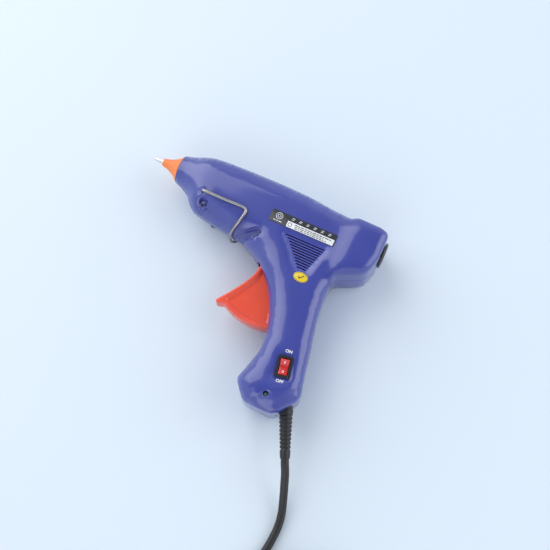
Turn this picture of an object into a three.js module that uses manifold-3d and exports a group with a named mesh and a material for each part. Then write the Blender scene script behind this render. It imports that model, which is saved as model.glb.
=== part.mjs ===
// Hot melt glue gun for 11 mm sticks, lying on its right side with its mains lead beside it.
// Units are millimetres and +Z is up. While it is drawn, X runs from the nozzle tip (0) to the rear inlet,
// Y = 0 is the axis of the glue stick with the grip towards -Y, and Z = 0 is the parting plane of the casing.
import * as THREE from "three";
import { mergeVertices } from "three/addons/utils/BufferGeometryUtils.js";
import Module from "manifold-3d";

const wasm = await Module();
wasm.setup();

// ---- driving dimensions -------------------------------------------------------------------------------------

const GAP = 0.3; // between two pieces that touch
const RUN = 0.6; // between two pieces that slide or swing past each other

// casing
const NOSE_X = 22; // front face of the casing
const REAR_X = 180; // rear face of the casing
const NOSE_RADIUS = 10.5;
const BARREL_TOP = 16.4; // from the stick axis to the top of the casing
const BLOCK_TOP = 12.8; // the same at the rear
const BELLY_DEPTH = 30.6; // from the stick axis down to the belly in front of the trigger
const GRIP_LENGTH = 136; // from the stick axis down to the end of the grip
const BODY_HALF = 18; // half the thickness of the flat sides
const BLOCK_HALF = 20.5; // half the thickness of the rear block
const BUTT_HALF = 20; // half the thickness at the end of the grip
const WALL = 2.5;
const TOP_ROUND = 11; // edge roundings of the casing
const BELLY_ROUND = 16;
const BLOCK_ROUND = 5;
const GRIP_FRONT_ROUND = 12;
const GRIP_BACK_ROUND = 8.5;
const NOSE_FLARE = 24; // length over which the nose widens to the flat sides
const RAMP_X = 151; // where the side starts to rise to the rear block
const RAMP_LENGTH = 7.5;
const FIELD_STEP = 5.2; // pitch of the facets on the curved sides

// glue path
const STICK_RADIUS = 5.6;
const BORE_RADIUS = 6.0; // melt chamber, at the stick's end
const NOZZLE_THREAD_RADIUS = 4.5;
const NOZZLE_LENGTH = 33;
const NOZZLE_HEX_RADIUS = 6.9;
const HEX_X = 20; // where the nozzle's spanner flats start
const HEX_LENGTH = 4;
const BOOT_FRONT_X = 7;
const BOOT_TAIL_X = 26.5;
const BOOT_TAIL_RADIUS = 8.2;
const CHAMBER_FRONT_X = 27;
const CHAMBER_RADIUS = 9;
const CHAMBER_LENGTH = 61;
const SPIGOT_RADIUS = 7.4;
const SPIGOT_LENGTH = 10;
const SLEEVE_LENGTH = 20;
const SLEEVE_RADIUS = 9.6;
const SUPPORT_WIDTH = 4;
const FRONT_SUPPORT_X = 36;
const FRONT_SUPPORT_RING = 2.2; // thickness of the rings round the chamber
const REAR_SUPPORT_X = 84;
const REAR_SUPPORT_RING = 3.6;
const FRONT_SUPPORT_RADIUS = CHAMBER_RADIUS + FRONT_SUPPORT_RING;
const REAR_SUPPORT_RADIUS = CHAMBER_RADIUS + REAR_SUPPORT_RING;

// heater, stacked across the pocket under the chamber
const POCKET_X = 43;
const POCKET_LENGTH = 33;
const POCKET_ROOF = 0.9; // between the chamber and the top of the pocket
const POCKET_TOP = -CHAMBER_RADIUS - POCKET_ROOF;
const POCKET_HALF = 5.8; // half its width
const POCKET_WALL = 1.7;
const MICA = 0.6;
const ELECTRODE = 0.6;
const CERAMIC = 2.8;
const WEDGE = 1.2;
const TAB_LENGTH = 6; // how far the electrode tabs stand out of the pocket

// feed mechanism
const TRIGGER_PIVOT = new THREE.Vector2(118, -39);
const TRIGGER_TRAVEL = THREE.MathUtils.degToRad(24);
const TRIGGER_HALF = 6;
const TRIGGER_WEB_HALF = 4;
const TRIGGER_RADIUS = 46.6; // lower edge of the trigger, about its pivot
const TRIGGER_RIM = 3.5;
const DRIVE_RADIUS = 22; // from the trigger's pivot to its drive pin
const PIN_RADIUS = 1.5;
const HUB_RADIUS = 5;
const CARRIAGE_X = 119;
const CARRIAGE_LENGTH = 26;
const CARRIAGE_BORE = 6.1;
const CARRIAGE_RADIUS = 8;
const EAR_HALF = 2; // half the thickness of the carriage's guide ears
const EAR_REACH = 14.2; // how far they stand out to the sides
const GRIPPER_PIVOT = new THREE.Vector2(131, -10.5);
const GRIPPER_PIN_RADIUS = 1.2;
const SPRING_RADIUS = 2.4;
const SPRING_WIRE = 0.4; // radius of the spring's wire
const SPRING_TURNS = 9;
const SPRING_AXIS = new THREE.Vector2(-11.2, 9.6); // its Y and Z
const SPRING_POST_X = 168;

// outside fittings
const STAND_PIVOT = new THREE.Vector2(48, -15);
const STAND_REACH = 35.4; // from the pivot to the corner of the wire
const STAND_WIRE = 1; // radius of the stand's wire
const STAND_CLEARANCE = 0.25; // between the folded wire and the flat sides
const STAND_HALF = BODY_HALF + STAND_WIRE + STAND_CLEARANCE; // half the width between the wire's centres
const STAND_BOW = 5.8; // how far the cross bar bows forward
const INLET_RADIUS = 6.4;
const INLET_FLANGE = 9.4;
const INLET_DEPTH = 8;
const SWITCH_CENTRE = new THREE.Vector2(153.2, -105.7);
const SWITCH_TILT = THREE.MathUtils.degToRad(11.4);
const SWITCH_WIDTH = 8.6;
const SWITCH_LENGTH = 13.4;
const SWITCH_DEPTH = 13;
const BEZEL_RIM = 0.75;
const BEZEL_HEIGHT = 1.2;
const ROCKER_WIDTH = 6.2;
const ROCKER_LENGTH = 10.6;
const ROCKER_TILT = THREE.MathUtils.degToRad(8);
const LED_CENTRE = new THREE.Vector2(149.8, -126.8);
const LED_RADIUS = 1.6;
const SCREW_RADIUS = 1.4;
const SCREW_HEAD_RADIUS = 2.7;
const SCREW_LENGTH = 16;
const SCREW_SEAT_Z = -9;
const SCREW_PLACES = [
  [60, -25.5],
  [94, -27.5],
  [113, 12.2],
  [166, -19.6],
  [150.5, -45],
  [138, -117],
].map(([x, y]) => new THREE.Vector2(x, y));
const LABEL_X = 99.2;
const LABEL_LENGTH = 49.2;
const LABEL_TOP = -6.2;
const LABEL_WIDTH = 9.2;
const LABEL_THICK = 0.25;
const STICKER_CENTRE = new THREE.Vector2(137.3, -44.6);
const STICKER_LENGTH = 10.4;
const STICKER_WIDTH = 7;
const VENT_COUNT = 11;
const VENT_PITCH = 1.85;
const VENT_HEIGHT = 0.9;

// mains lead
const CORD_RADIUS = 2.75;
const CORD_EXIT = new THREE.Vector2(165, -127.8); // where it crosses the casing's edge
const CORD_HEADING = new THREE.Vector2(0.4, -0.917).normalize();
const RELIEF_LENGTH = 32;
const RELIEF_BASE_RADIUS = 4.6;
const RELIEF_TIP_RADIUS = 3.5;
const RELIEF_NECK = 6; // length of its neck inside the casing
const WIRE_RADIUS = 1; // insulated wires inside
const WIRE_SPREAD = 1.6; // half the distance between the two of a pair
const COIL_CENTRE = new THREE.Vector2(222, -254);
const COIL_MEAN_RADIUS = 31;
const COIL_WIDTH = 11.2; // two turns side by side
const COIL_HEIGHT = 16.6; // three turns on each other
const PLUG_LENGTH = 36;
const PLUG_WIDTH = 25;
const PLUG_THICK = 13;
const PLUG_PIN_LENGTH = 19;
const PLUG_PIN_RADIUS = 2;
const PLUG_PIN_SPACING = 17.5;

// ---- finishes -----------------------------------------------------------------------------------------------

function finish(color, roughness, metalness = 0) {
  return new THREE.MeshStandardMaterial({ color, roughness, metalness });
}

const BLUE_SHELL = finish(0x3c4aa8, 0.38);
const RED_PLASTIC = finish(0xe8402a, 0.4);
const ORANGE_SILICONE = finish(0xf58a4a, 0.6);
const BRIGHT_STEEL = finish(0xc8c8cc, 0.25, 1);
const NOZZLE_METAL = finish(0xd8d4c4, 0.3, 1);
const CAST_ALUMINIUM = finish(0xb4b6ba, 0.5, 1);
const BRASS = finish(0xb99a52, 0.35, 1);
const MICA_SHEET = finish(0xbfa57a, 0.6);
const CERAMIC_GREY = finish(0x5a5a60, 0.8);
const PHENOLIC = finish(0x4a3020, 0.6);
const RED_SILICONE = finish(0xb03028, 0.6);
const WHITE_PLASTIC = finish(0xe6e4dc, 0.5);
const BLACK_PLASTIC = finish(0x17171a, 0.45);
const BLACK_RUBBER = finish(0x1b1b1d, 0.7);
const GREEN_LENS = finish(0x1d5a3a, 0.2);
const GREEN_BOARD = finish(0x1c6a34, 0.6);
const LABEL_STOCK = finish(0xe9e9e4, 0.5);
const YELLOW_STOCK = finish(0xf2cf1c, 0.4);

// ---- solids -------------------------------------------------------------------------------------------------

function solid(geometry) {
  const bare = geometry.clone();
  bare.deleteAttribute("normal");
  bare.deleteAttribute("uv");
  const merged = mergeVertices(bare, 1e-4);
  return new wasm.Manifold(
    new wasm.Mesh({
      numProp: 3,
      vertProperties: merged.attributes.position.array,
      triVerts: new Uint32Array(merged.index.array),
    }),
  );
}

function geometryOf(body) {
  const mesh = body.getMesh();
  const geometry = new THREE.BufferGeometry();
  geometry.setAttribute("position", new THREE.BufferAttribute(mesh.vertProperties, 3));
  geometry.setIndex(new THREE.BufferAttribute(mesh.triVerts, 1));
  return geometry;
}

function joined(...bodies) {
  return bodies.reduce((all, next) => all.add(next));
}

function cut(body, ...tools) {
  return tools.reduce((left, tool) => left.subtract(tool), body);
}

// The main body, without the slivers that a cut can leave beside it.
function largest(body) {
  const bodies = body.decompose();
  return bodies.reduce((best, next) => (next.volume() > best.volume() ? next : best));
}

// A box between two corners.
function block(x0, y0, z0, x1, y1, z1) {
  const box = new THREE.BoxGeometry(x1 - x0, y1 - y0, z1 - z0);
  return solid(box.translate((x0 + x1) / 2, (y0 + y1) / 2, (z0 + z1) / 2));
}

// An outline in the XY plane, thickened from z0 to z1.
function slab(shape, z0, z1, divisions = 6) {
  const extruded = new THREE.ExtrudeGeometry(shape, {
    depth: z1 - z0,
    bevelEnabled: false,
    curveSegments: divisions,
  });
  return solid(extruded.translate(0, 0, z0));
}

// A round bar along Z.
function postZ(x, y, radius, z0, z1, sides = 20) {
  const bar = new THREE.CylinderGeometry(radius, radius, z1 - z0, sides);
  return solid(bar.rotateX(Math.PI / 2).translate(x, y, (z0 + z1) / 2));
}

// A turned piece about the stick axis, from pairs of x and radius that close on themselves.
function turned(profile, sides = 32) {
  const points = profile.map(([x, radius]) => new THREE.Vector2(radius, x));
  points.push(points[0].clone());
  return solid(new THREE.LatheGeometry(points, sides).rotateZ(-Math.PI / 2));
}

// A plain round bar along the stick axis.
function rodX(x0, x1, radius, y = 0, z = 0, sides = 32) {
  const bar = new THREE.CylinderGeometry(radius, radius, x1 - x0, sides);
  return solid(bar.rotateZ(-Math.PI / 2).translate((x0 + x1) / 2, y, z));
}

// A round wire or tube along a curve.
function swept(curve, radius, steps, sides) {
  const section = new THREE.Shape();
  for (let i = 0; i < sides; i += 1) {
    const angle = (2 * Math.PI * i) / sides;
    const x = radius * Math.cos(angle);
    const y = radius * Math.sin(angle);
    if (i === 0) section.moveTo(x, y);
    else section.lineTo(x, y);
  }
  section.closePath();
  return new THREE.ExtrudeGeometry(section, { steps, extrudePath: curve, bevelEnabled: false });
}

function curveThrough(points) {
  return new THREE.CatmullRomCurve3(points.map(([x, y, z]) => new THREE.Vector3(x, y, z)), false, "centripetal");
}

// ---- casing -------------------------------------------------------------------------------------------------

function casingOutline() {
  const rise = BARREL_TOP - BLOCK_TOP;
  const shape = new THREE.Shape();
  shape.moveTo(NOSE_X, NOSE_RADIUS);
  shape.splineThru([
    new THREE.Vector2(NOSE_X + 12, BARREL_TOP - 3),
    new THREE.Vector2(NOSE_X + 30, BARREL_TOP - 0.8),
    new THREE.Vector2(NOSE_X + 54, BARREL_TOP),
    new THREE.Vector2(NOSE_X + 80, BARREL_TOP),
    new THREE.Vector2(REAR_X - 58, BLOCK_TOP + 0.72 * rise),
    new THREE.Vector2(REAR_X - 45, BLOCK_TOP + 0.28 * rise),
    new THREE.Vector2(REAR_X - 28, BLOCK_TOP),
    new THREE.Vector2(REAR_X - 9, BLOCK_TOP - 0.4),
  ]);
  shape.quadraticCurveTo(REAR_X, BLOCK_TOP - 1, REAR_X, BLOCK_TOP - 6);
  shape.lineTo(REAR_X, -10);
  shape.lineTo(REAR_X - 2.6, -19);
  shape.quadraticCurveTo(REAR_X - 3.4, -22.5, REAR_X - 8, -24.5);
  shape.lineTo(REAR_X - 20, -30.2);
  shape.quadraticCurveTo(REAR_X - 23.5, -32, REAR_X - 23.3, -37);
  shape.splineThru([
    new THREE.Vector2(157, -47),
    new THREE.Vector2(159, -64.5),
    new THREE.Vector2(163.3, -83.5),
    new THREE.Vector2(167.6, -104),
    new THREE.Vector2(169.8, -113.5),
  ]);
  shape.quadraticCurveTo(171.2, -119, 169.6, -121.6);
  shape.lineTo(161.6, 3.5 - GRIP_LENGTH);
  shape.quadraticCurveTo(159.4, -GRIP_LENGTH, 155, -GRIP_LENGTH);
  shape.lineTo(142.5, -GRIP_LENGTH);
  shape.quadraticCurveTo(137.5, -GRIP_LENGTH, 134.6, 2.8 - GRIP_LENGTH);
  shape.lineTo(129.4, 9 - GRIP_LENGTH);
  shape.quadraticCurveTo(126.4, 12.4 - GRIP_LENGTH, 127.9, 15.5 - GRIP_LENGTH);
  shape.splineThru([
    new THREE.Vector2(129.8, -112),
    new THREE.Vector2(131.8, -104),
    new THREE.Vector2(132.6, -96),
    new THREE.Vector2(131.6, -88),
    new THREE.Vector2(129, -79),
    new THREE.Vector2(124.2, -67.5),
    new THREE.Vector2(118.4, -57.5),
    new THREE.Vector2(112, -50),
    new THREE.Vector2(105.6, -43.6),
    new THREE.Vector2(98.5, -8.2 - BELLY_DEPTH),
    new THREE.Vector2(90, -4 - BELLY_DEPTH),
    new THREE.Vector2(80, -1.4 - BELLY_DEPTH),
    new THREE.Vector2(68, 0.5 - BELLY_DEPTH),
    new THREE.Vector2(53, 2.8 - BELLY_DEPTH),
    new THREE.Vector2(44, 4.8 - BELLY_DEPTH),
    new THREE.Vector2(38.6, -21.5),
    new THREE.Vector2(34, -16.4),
    new THREE.Vector2(27, -12.4),
    new THREE.Vector2(NOSE_X, -NOSE_RADIUS),
  ]);
  shape.closePath();
  return shape;
}

// The points of an outline, each one once.
function cornersOf(shape, divisions) {
  const points = shape.getPoints(divisions);
  return points.filter((point, i) => point.distanceTo(points[(i + 1) % points.length]) > 0.01);
}

const OUTLINE = cornersOf(casingOutline(), 3);

// How far a point is inside the outline, or 0 outside it. The flat front of the nose doesn't count as an edge.
function depthInside(x, y) {
  let inside = false;
  let nearest = Infinity;
  for (let i = 0; i < OUTLINE.length; i += 1) {
    const a = OUTLINE[i];
    const b = OUTLINE[(i + 1) % OUTLINE.length];
    const crosses = a.y > y !== b.y > y;
    if (crosses && x < a.x + ((y - a.y) * (b.x - a.x)) / (b.y - a.y)) inside = !inside;
    const along = ((x - a.x) * (b.x - a.x) + (y - a.y) * (b.y - a.y)) / a.distanceToSquared(b);
    const t = THREE.MathUtils.clamp(along, 0, 1);
    if (Math.max(a.x, b.x) < NOSE_X + 0.01) continue;
    nearest = Math.min(nearest, Math.hypot(x - a.x - t * (b.x - a.x), y - a.y - t * (b.y - a.y)));
  }
  return inside ? nearest : 0;
}

function rise(value, from, to) {
  return THREE.MathUtils.smoothstep(value, from, to);
}

function halfThickness(x, y) {
  const body = THREE.MathUtils.lerp(NOSE_RADIUS, BODY_HALF, rise(x, NOSE_X, NOSE_X + NOSE_FLARE));
  const rear = rise(x, RAMP_X, RAMP_X + RAMP_LENGTH) * rise(y, -42, -34);
  const butt = rise(-y, GRIP_LENGTH - 24, GRIP_LENGTH - 10);
  return body + (BLOCK_HALF - BODY_HALF) * rear + (BUTT_HALF - BODY_HALF) * butt;
}

function edgeRounding(x, y) {
  const barrel = THREE.MathUtils.lerp(BELLY_ROUND, TOP_ROUND, rise(y, -12, 0));
  const gripMiddle = 143 - 0.14 * (y + 60);
  const grip = THREE.MathUtils.lerp(GRIP_FRONT_ROUND, GRIP_BACK_ROUND, rise(x, gripMiddle - 6, gripMiddle + 6));
  const body = THREE.MathUtils.lerp(grip, barrel, rise(y, -44, -30));
  const rear = rise(x, RAMP_X, RAMP_X + RAMP_LENGTH) * rise(y, -42, -34);
  return THREE.MathUtils.lerp(body, BLOCK_ROUND, rear);
}

function sideHeight(x, y) {
  const half = halfThickness(x, y);
  const radius = Math.min(edgeRounding(x, y), half - 1);
  const short = radius - Math.min(depthInside(x, y), radius);
  return half - radius + Math.sqrt(radius * radius - short * short);
}

// Everything below the casing's curved side, or below a copy of it sunk by the wall, down to z = -5.
function belowSide(step, sunk) {
  const bounds = new THREE.Box2().setFromPoints(OUTLINE).expandByScalar(step);
  const size = bounds.getSize(new THREE.Vector2());
  const centre = bounds.getCenter(new THREE.Vector2());
  const box = new THREE.BoxGeometry(size.x, size.y, 10, Math.round(size.x / step), Math.round(size.y / step), 1);
  box.translate(centre.x, centre.y, 0);
  const position = box.attributes.position;
  for (let i = 0; i < position.count; i += 1) {
    if (position.getZ(i) > 0) position.setZ(i, sideHeight(position.getX(i), position.getY(i)) - sunk);
  }
  return solid(box);
}

// An outline moved inwards.
function inset(points, distance) {
  const turn = THREE.ShapeUtils.isClockWise(points) ? 1 : -1;
  const moved = points.map((point, i) => {
    const before = points[(i + points.length - 1) % points.length];
    const after = points[(i + 1) % points.length];
    const a = point.clone().sub(before).normalize();
    const b = after.clone().sub(point).normalize();
    const normal = new THREE.Vector2(turn * (a.y + b.y), -turn * (a.x + b.x));
    return point.clone().addScaledVector(normal, distance / (1 + a.dot(b)));
  });
  return new THREE.Shape(moved);
}

// The left half: a solid block of the outer form, and the room inside it.
const OUTER_HALF = slab(new THREE.Shape(OUTLINE), GAP / 2, 40).intersect(belowSide(FIELD_STEP, 0));
const ROOM_HALF = slab(inset(OUTLINE, WALL), -1, 40).intersect(belowSide(2 * FIELD_STEP, WALL));

function ventSlots() {
  const slots = [];
  for (let i = 0; i < VENT_COUNT; i += 1) {
    const share = i / (VENT_COUNT - 1);
    const left = THREE.MathUtils.lerp(114.7, 131.8, Math.pow(share, 0.85));
    const right = THREE.MathUtils.lerp(144.2, 138.6, share);
    const y = -20.6 - i * VENT_PITCH;
    slots.push(block(left, y, BODY_HALF - WALL - 3, right, y + VENT_HEIGHT, BODY_HALF + 3));
  }
  return joined(...slots);
}

// The opening in the front of the grip that the trigger swings through.
function triggerMouth() {
  const reach = TRIGGER_RADIUS + 2 * RUN;
  const shape = new THREE.Shape();
  shape.absarc(TRIGGER_PIVOT.x, TRIGGER_PIVOT.y, reach, Math.PI * 1.03, Math.PI * 1.76, false);
  shape.lineTo(TRIGGER_PIVOT.x + 5, TRIGGER_PIVOT.y + 3);
  shape.lineTo(TRIGGER_PIVOT.x - 7, TRIGGER_PIVOT.y + 3);
  shape.closePath();
  return slab(shape, -1, TRIGGER_HALF + RUN, 16);
}

function screwBoss(place, radius) {
  return postZ(place.x, place.y, radius, GAP / 2, 30);
}

// Ribs, bosses and rails on the inside of one half.
function innerFrame() {
  const ribs = [
    [FRONT_SUPPORT_X, SUPPORT_WIDTH, FRONT_SUPPORT_RADIUS + GAP, -40],
    [REAR_SUPPORT_X, SUPPORT_WIDTH, REAR_SUPPORT_RADIUS + GAP, -REAR_SUPPORT_RADIUS - 2.4],
    [SPRING_POST_X, 2, SLEEVE_RADIUS, -40],
  ].map(([x, width, radius, low]) =>
    block(x, low, GAP / 2, x + width, 30, 30).subtract(rodX(x - 1, x + width + 1, radius)),
  );
  const bosses = SCREW_PLACES.map((place) => screwBoss(place, SCREW_HEAD_RADIUS + 1.4));
  const rails = [-1, 1].map((side) => {
    const near = EAR_HALF + RUN;
    const low = side > 0 ? near : -near - 2;
    return block(CARRIAGE_X - 11, low, EAR_REACH - 2.4, CARRIAGE_X + CARRIAGE_LENGTH + 2, low + 2, 30);
  });
  const hub = postZ(TRIGGER_PIVOT.x, TRIGGER_PIVOT.y, HUB_RADIUS, TRIGGER_HALF + RUN, 30);
  return joined(...ribs, ...bosses, ...rails, hub).intersect(ROOM_HALF);
}

function reliefBore(radius, length) {
  const bar = new THREE.CylinderGeometry(radius, radius, length, 24);
  return placedOnCord(bar.rotateZ(-Math.PI / 2), 0);
}

// Turns a piece drawn along X so that it follows the cord's heading, and puts it at the exit.
function placedOnCord(geometry, lift) {
  geometry.rotateZ(CORD_HEADING.angle());
  return solid(geometry.translate(CORD_EXIT.x, CORD_EXIT.y, lift));
}

function switchOpening() {
  const box = new THREE.BoxGeometry(SWITCH_WIDTH + 2 * GAP, SWITCH_LENGTH + 2 * GAP, 20);
  return solid(box.rotateZ(SWITCH_TILT).translate(SWITCH_CENTRE.x, SWITCH_CENTRE.y, BODY_HALF));
}

// Room for the chamber's pocket where it comes near the belly.
function pocketRoom() {
  const low = pocketFloor() - POCKET_WALL - GAP;
  const half = POCKET_HALF + POCKET_WALL + GAP;
  return block(POCKET_X - GAP, low, -1, POCKET_X + POCKET_LENGTH + GAP, 0, half);
}

// Cuts that both halves share.
function commonCuts() {
  return joined(
    pocketRoom(),
    rodX(NOSE_X - 2, CHAMBER_FRONT_X, BOOT_TAIL_RADIUS + GAP),
    rodX(CHAMBER_FRONT_X - 1, FRONT_SUPPORT_X, CHAMBER_RADIUS + RUN),
    rodX(REAR_X - INLET_DEPTH - 1, REAR_X + 2, INLET_RADIUS + 1.2 + GAP),
    triggerMouth(),
    ventSlots(),
    postZ(TRIGGER_PIVOT.x, TRIGGER_PIVOT.y, PIN_RADIUS + GAP, 0, 13.5, 14),
    postZ(STAND_PIVOT.x, STAND_PIVOT.y, STAND_WIRE + GAP, 9, 25, 12),
    reliefBore(RELIEF_BASE_RADIUS + GAP, 24),
  );
}

function mirroredInZ(body) {
  const geometry = geometryOf(body);
  geometry.scale(1, 1, -1);
  const order = geometry.index.array;
  for (let i = 0; i < order.length; i += 3) {
    const kept = order[i];
    order[i] = order[i + 1];
    order[i + 1] = kept;
  }
  return solid(geometry);
}

const SHELL_HALF = cut(joined(cut(OUTER_HALF, ROOM_HALF), innerFrame()), commonCuts());

function leftHousing() {
  const pilots = SCREW_PLACES.map((place) =>
    postZ(place.x, place.y, SCREW_RADIUS + GAP, -1, SCREW_SEAT_Z + SCREW_LENGTH + 1, 10),
  );
  const lamp = postZ(LED_CENTRE.x, LED_CENTRE.y, LED_RADIUS + GAP, 5, 30, 14);
  return largest(cut(SHELL_HALF, switchOpening(), lamp, ...pilots));
}

function rightHousing() {
  const holes = SCREW_PLACES.map((place) =>
    joined(
      postZ(place.x, place.y, SCREW_RADIUS + GAP, -1, 40, 10),
      postZ(place.x, place.y, SCREW_HEAD_RADIUS + GAP, -SCREW_SEAT_Z, 40, 15),
    ),
  );
  return mirroredInZ(largest(cut(SHELL_HALF, ...holes)));
}

function housingScrew(place) {
  return joined(
    postZ(place.x, place.y, SCREW_RADIUS, SCREW_SEAT_Z - 1, SCREW_SEAT_Z + SCREW_LENGTH, 10),
    postZ(place.x, place.y, SCREW_HEAD_RADIUS, SCREW_SEAT_Z - GAP - 1.8, SCREW_SEAT_Z - GAP, 14),
  );
}

// ---- glue path ----------------------------------------------------------------------------------------------

function nozzle() {
  const body = turned([
    [0, 0.6], [0, 1], [7, 2], [11, 2.5], [14, 3.4], [HEX_X - 2, 5.2], [HEX_X + 1, 5.2],
    [HEX_X + 1, NOZZLE_THREAD_RADIUS], [NOZZLE_LENGTH, NOZZLE_THREAD_RADIUS],
    [NOZZLE_LENGTH, 2.4], [15, 2.4], [11, 0.6],
  ], 24);
  const flats = new THREE.CylinderGeometry(NOZZLE_HEX_RADIUS, NOZZLE_HEX_RADIUS, HEX_LENGTH, 6);
  const hex = solid(flats.rotateZ(-Math.PI / 2).translate(HEX_X + HEX_LENGTH / 2, 0, 0));
  return joined(body, cut(hex, rodX(HEX_X - 1, HEX_X + HEX_LENGTH + 1, 3.5)));
}

function nozzleBoot() {
  const inner = NOZZLE_HEX_RADIUS + GAP;
  return turned([
    [BOOT_FRONT_X, 2 + GAP], [BOOT_FRONT_X, 2.9], [11, 3.8], [15, 5.4], [18.6, 7.7], [NOSE_X - GAP, 10.4],
    [NOSE_X - GAP, BOOT_TAIL_RADIUS], [BOOT_TAIL_X, BOOT_TAIL_RADIUS], [BOOT_TAIL_X, inner],
    [HEX_X - GAP, inner], [HEX_X - GAP, 5.2 + GAP], [HEX_X - 2.2, 5.2 + GAP], [14, 3.4 + GAP], [11, 2.5 + GAP],
  ], 28);
}

function meltChamber() {
  const rear = CHAMBER_FRONT_X + CHAMBER_LENGTH;
  const end = rear + SPIGOT_LENGTH;
  const tube = turned([
    [CHAMBER_FRONT_X, NOZZLE_THREAD_RADIUS + GAP], [CHAMBER_FRONT_X, CHAMBER_RADIUS], [rear, CHAMBER_RADIUS],
    [rear, SPIGOT_RADIUS], [end, SPIGOT_RADIUS], [end, BORE_RADIUS], [NOZZLE_LENGTH + 14, BORE_RADIUS - 0.8],
    [NOZZLE_LENGTH + 3, NOZZLE_THREAD_RADIUS + GAP],
  ]);
  const half = POCKET_HALF + POCKET_WALL;
  const floor = pocketFloor();
  const lump = block(POCKET_X, floor - POCKET_WALL, -half, POCKET_X + POCKET_LENGTH, -CHAMBER_RADIUS + 3, half);
  const bore = rodX(POCKET_X - 1, POCKET_X + POCKET_LENGTH + 1, CHAMBER_RADIUS - 1);
  const hollow = block(POCKET_X - 1, floor, -POCKET_HALF, POCKET_X + POCKET_LENGTH + 1, POCKET_TOP, POCKET_HALF);
  return joined(tube, cut(lump, bore, hollow));
}

// Heights of the heater's layers, from the chamber downwards.
function heaterLayers() {
  const layers = {};
  let top = POCKET_TOP;
  for (const [name, thick] of [
    ["upperMica", MICA],
    ["upperElectrode", ELECTRODE],
    ["ceramic", CERAMIC],
    ["lowerElectrode", ELECTRODE],
    ["lowerMica", MICA],
    ["wedge", WEDGE],
  ]) {
    top -= GAP;
    layers[name] = [top - thick, top];
    top -= thick;
  }
  return layers;
}

function pocketFloor() {
  return heaterLayers().wedge[0] - GAP;
}

function layer([y0, y1], x0, x1, half) {
  return block(x0, y0, -half, x1, y1, half);
}

function micaSheet(heights) {
  return layer(heights, POCKET_X, POCKET_X + POCKET_LENGTH, POCKET_HALF - GAP);
}

// A contact sheet whose tab stands out of the pocket's rear end, off to one side.
function electrode(heights, tabZ) {
  const end = POCKET_X + POCKET_LENGTH;
  const tab = block(end - 2, heights[0], tabZ - 1.6, end + TAB_LENGTH, heights[1], tabZ + 1.6);
  return joined(layer(heights, POCKET_X + 1, end - 1, POCKET_HALF - 2 * GAP), tab);
}

// One of the two heating chips, counted from the front.
function heaterChip(index) {
  const length = (POCKET_LENGTH - 4) / 2;
  const start = POCKET_X + 1.6 + index * (length + 0.8);
  return layer(heaterLayers().ceramic, start, start + length, POCKET_HALF - 1);
}

function heaterWedge() {
  return layer(heaterLayers().wedge, POCKET_X + 1, POCKET_X + POCKET_LENGTH + 1.5, POCKET_HALF - GAP);
}

function supportRing(x, radius) {
  const inner = CHAMBER_RADIUS + GAP;
  const end = x + SUPPORT_WIDTH;
  return turned([[x, inner], [x, radius], [end, radius], [end, inner]]);
}

function feedSleeve() {
  const start = CHAMBER_FRONT_X + CHAMBER_LENGTH + GAP;
  const step = start + SPIGOT_LENGTH + GAP;
  const end = start + SLEEVE_LENGTH;
  return turned([
    [start, SPIGOT_RADIUS + GAP], [start, SLEEVE_RADIUS], [end - 2, SLEEVE_RADIUS], [end, SLEEVE_RADIUS - 1.2],
    [end, STICK_RADIUS + 1], [end - 2, STICK_RADIUS + GAP], [step, STICK_RADIUS + GAP],
    [step, SPIGOT_RADIUS + GAP],
  ], 28);
}

function sleeveClamp() {
  const start = CHAMBER_FRONT_X + CHAMBER_LENGTH + 3;
  const inner = SLEEVE_RADIUS + GAP;
  const band = turned([[start, inner], [start, inner + 0.8], [start + 4, inner + 0.8], [start + 4, inner]], 28);
  const ear = block(start, -inner - 3.4, -0.8, start + 4, -inner - 0.4, 0.8);
  return joined(band, ear);
}

function inletGuide() {
  const front = REAR_X - INLET_DEPTH;
  return turned([
    [front, INLET_RADIUS], [front, INLET_RADIUS + 1.2], [REAR_X + GAP, INLET_RADIUS + 1.2],
    [REAR_X + GAP, INLET_FLANGE], [REAR_X + 2, INLET_FLANGE - 0.6], [REAR_X + 2, INLET_RADIUS + 0.9],
    [REAR_X + 0.6, INLET_RADIUS],
  ]);
}

// ---- feed mechanism -----------------------------------------------------------------------------------------

// The trigger's drive pin, half the travel behind its pivot at rest so that it moves almost level.
const DRIVE_PIN = new THREE.Vector2(
  TRIGGER_PIVOT.x + DRIVE_RADIUS * Math.sin(TRIGGER_TRAVEL / 2),
  TRIGGER_PIVOT.y + DRIVE_RADIUS * Math.cos(TRIGGER_TRAVEL / 2),
);

// The trigger seen from the side.
function fingerPiece() {
  const back = THREE.MathUtils.degToRad(-70);
  const front = THREE.MathUtils.degToRad(-119);
  const shape = new THREE.Shape();
  shape.moveTo(TRIGGER_PIVOT.x + 3.6, TRIGGER_PIVOT.y + 1);
  shape.lineTo(TRIGGER_PIVOT.x - 6, TRIGGER_PIVOT.y + 1);
  shape.lineTo(107, -42.4);
  shape.splineThru([
    new THREE.Vector2(105.4, -52),
    new THREE.Vector2(101.6, -60.6),
    new THREE.Vector2(96, -70),
    new THREE.Vector2(89.2, -79.6),
  ]);
  shape.quadraticCurveTo(88.4, -81, 90.4, -81);
  const start = new THREE.Vector2(Math.cos(front), Math.sin(front)).multiplyScalar(TRIGGER_RADIUS);
  start.add(TRIGGER_PIVOT);
  shape.lineTo(start.x, start.y);
  shape.absarc(TRIGGER_PIVOT.x, TRIGGER_PIVOT.y, TRIGGER_RADIUS, front, back, false);
  shape.closePath();
  return shape;
}

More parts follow.
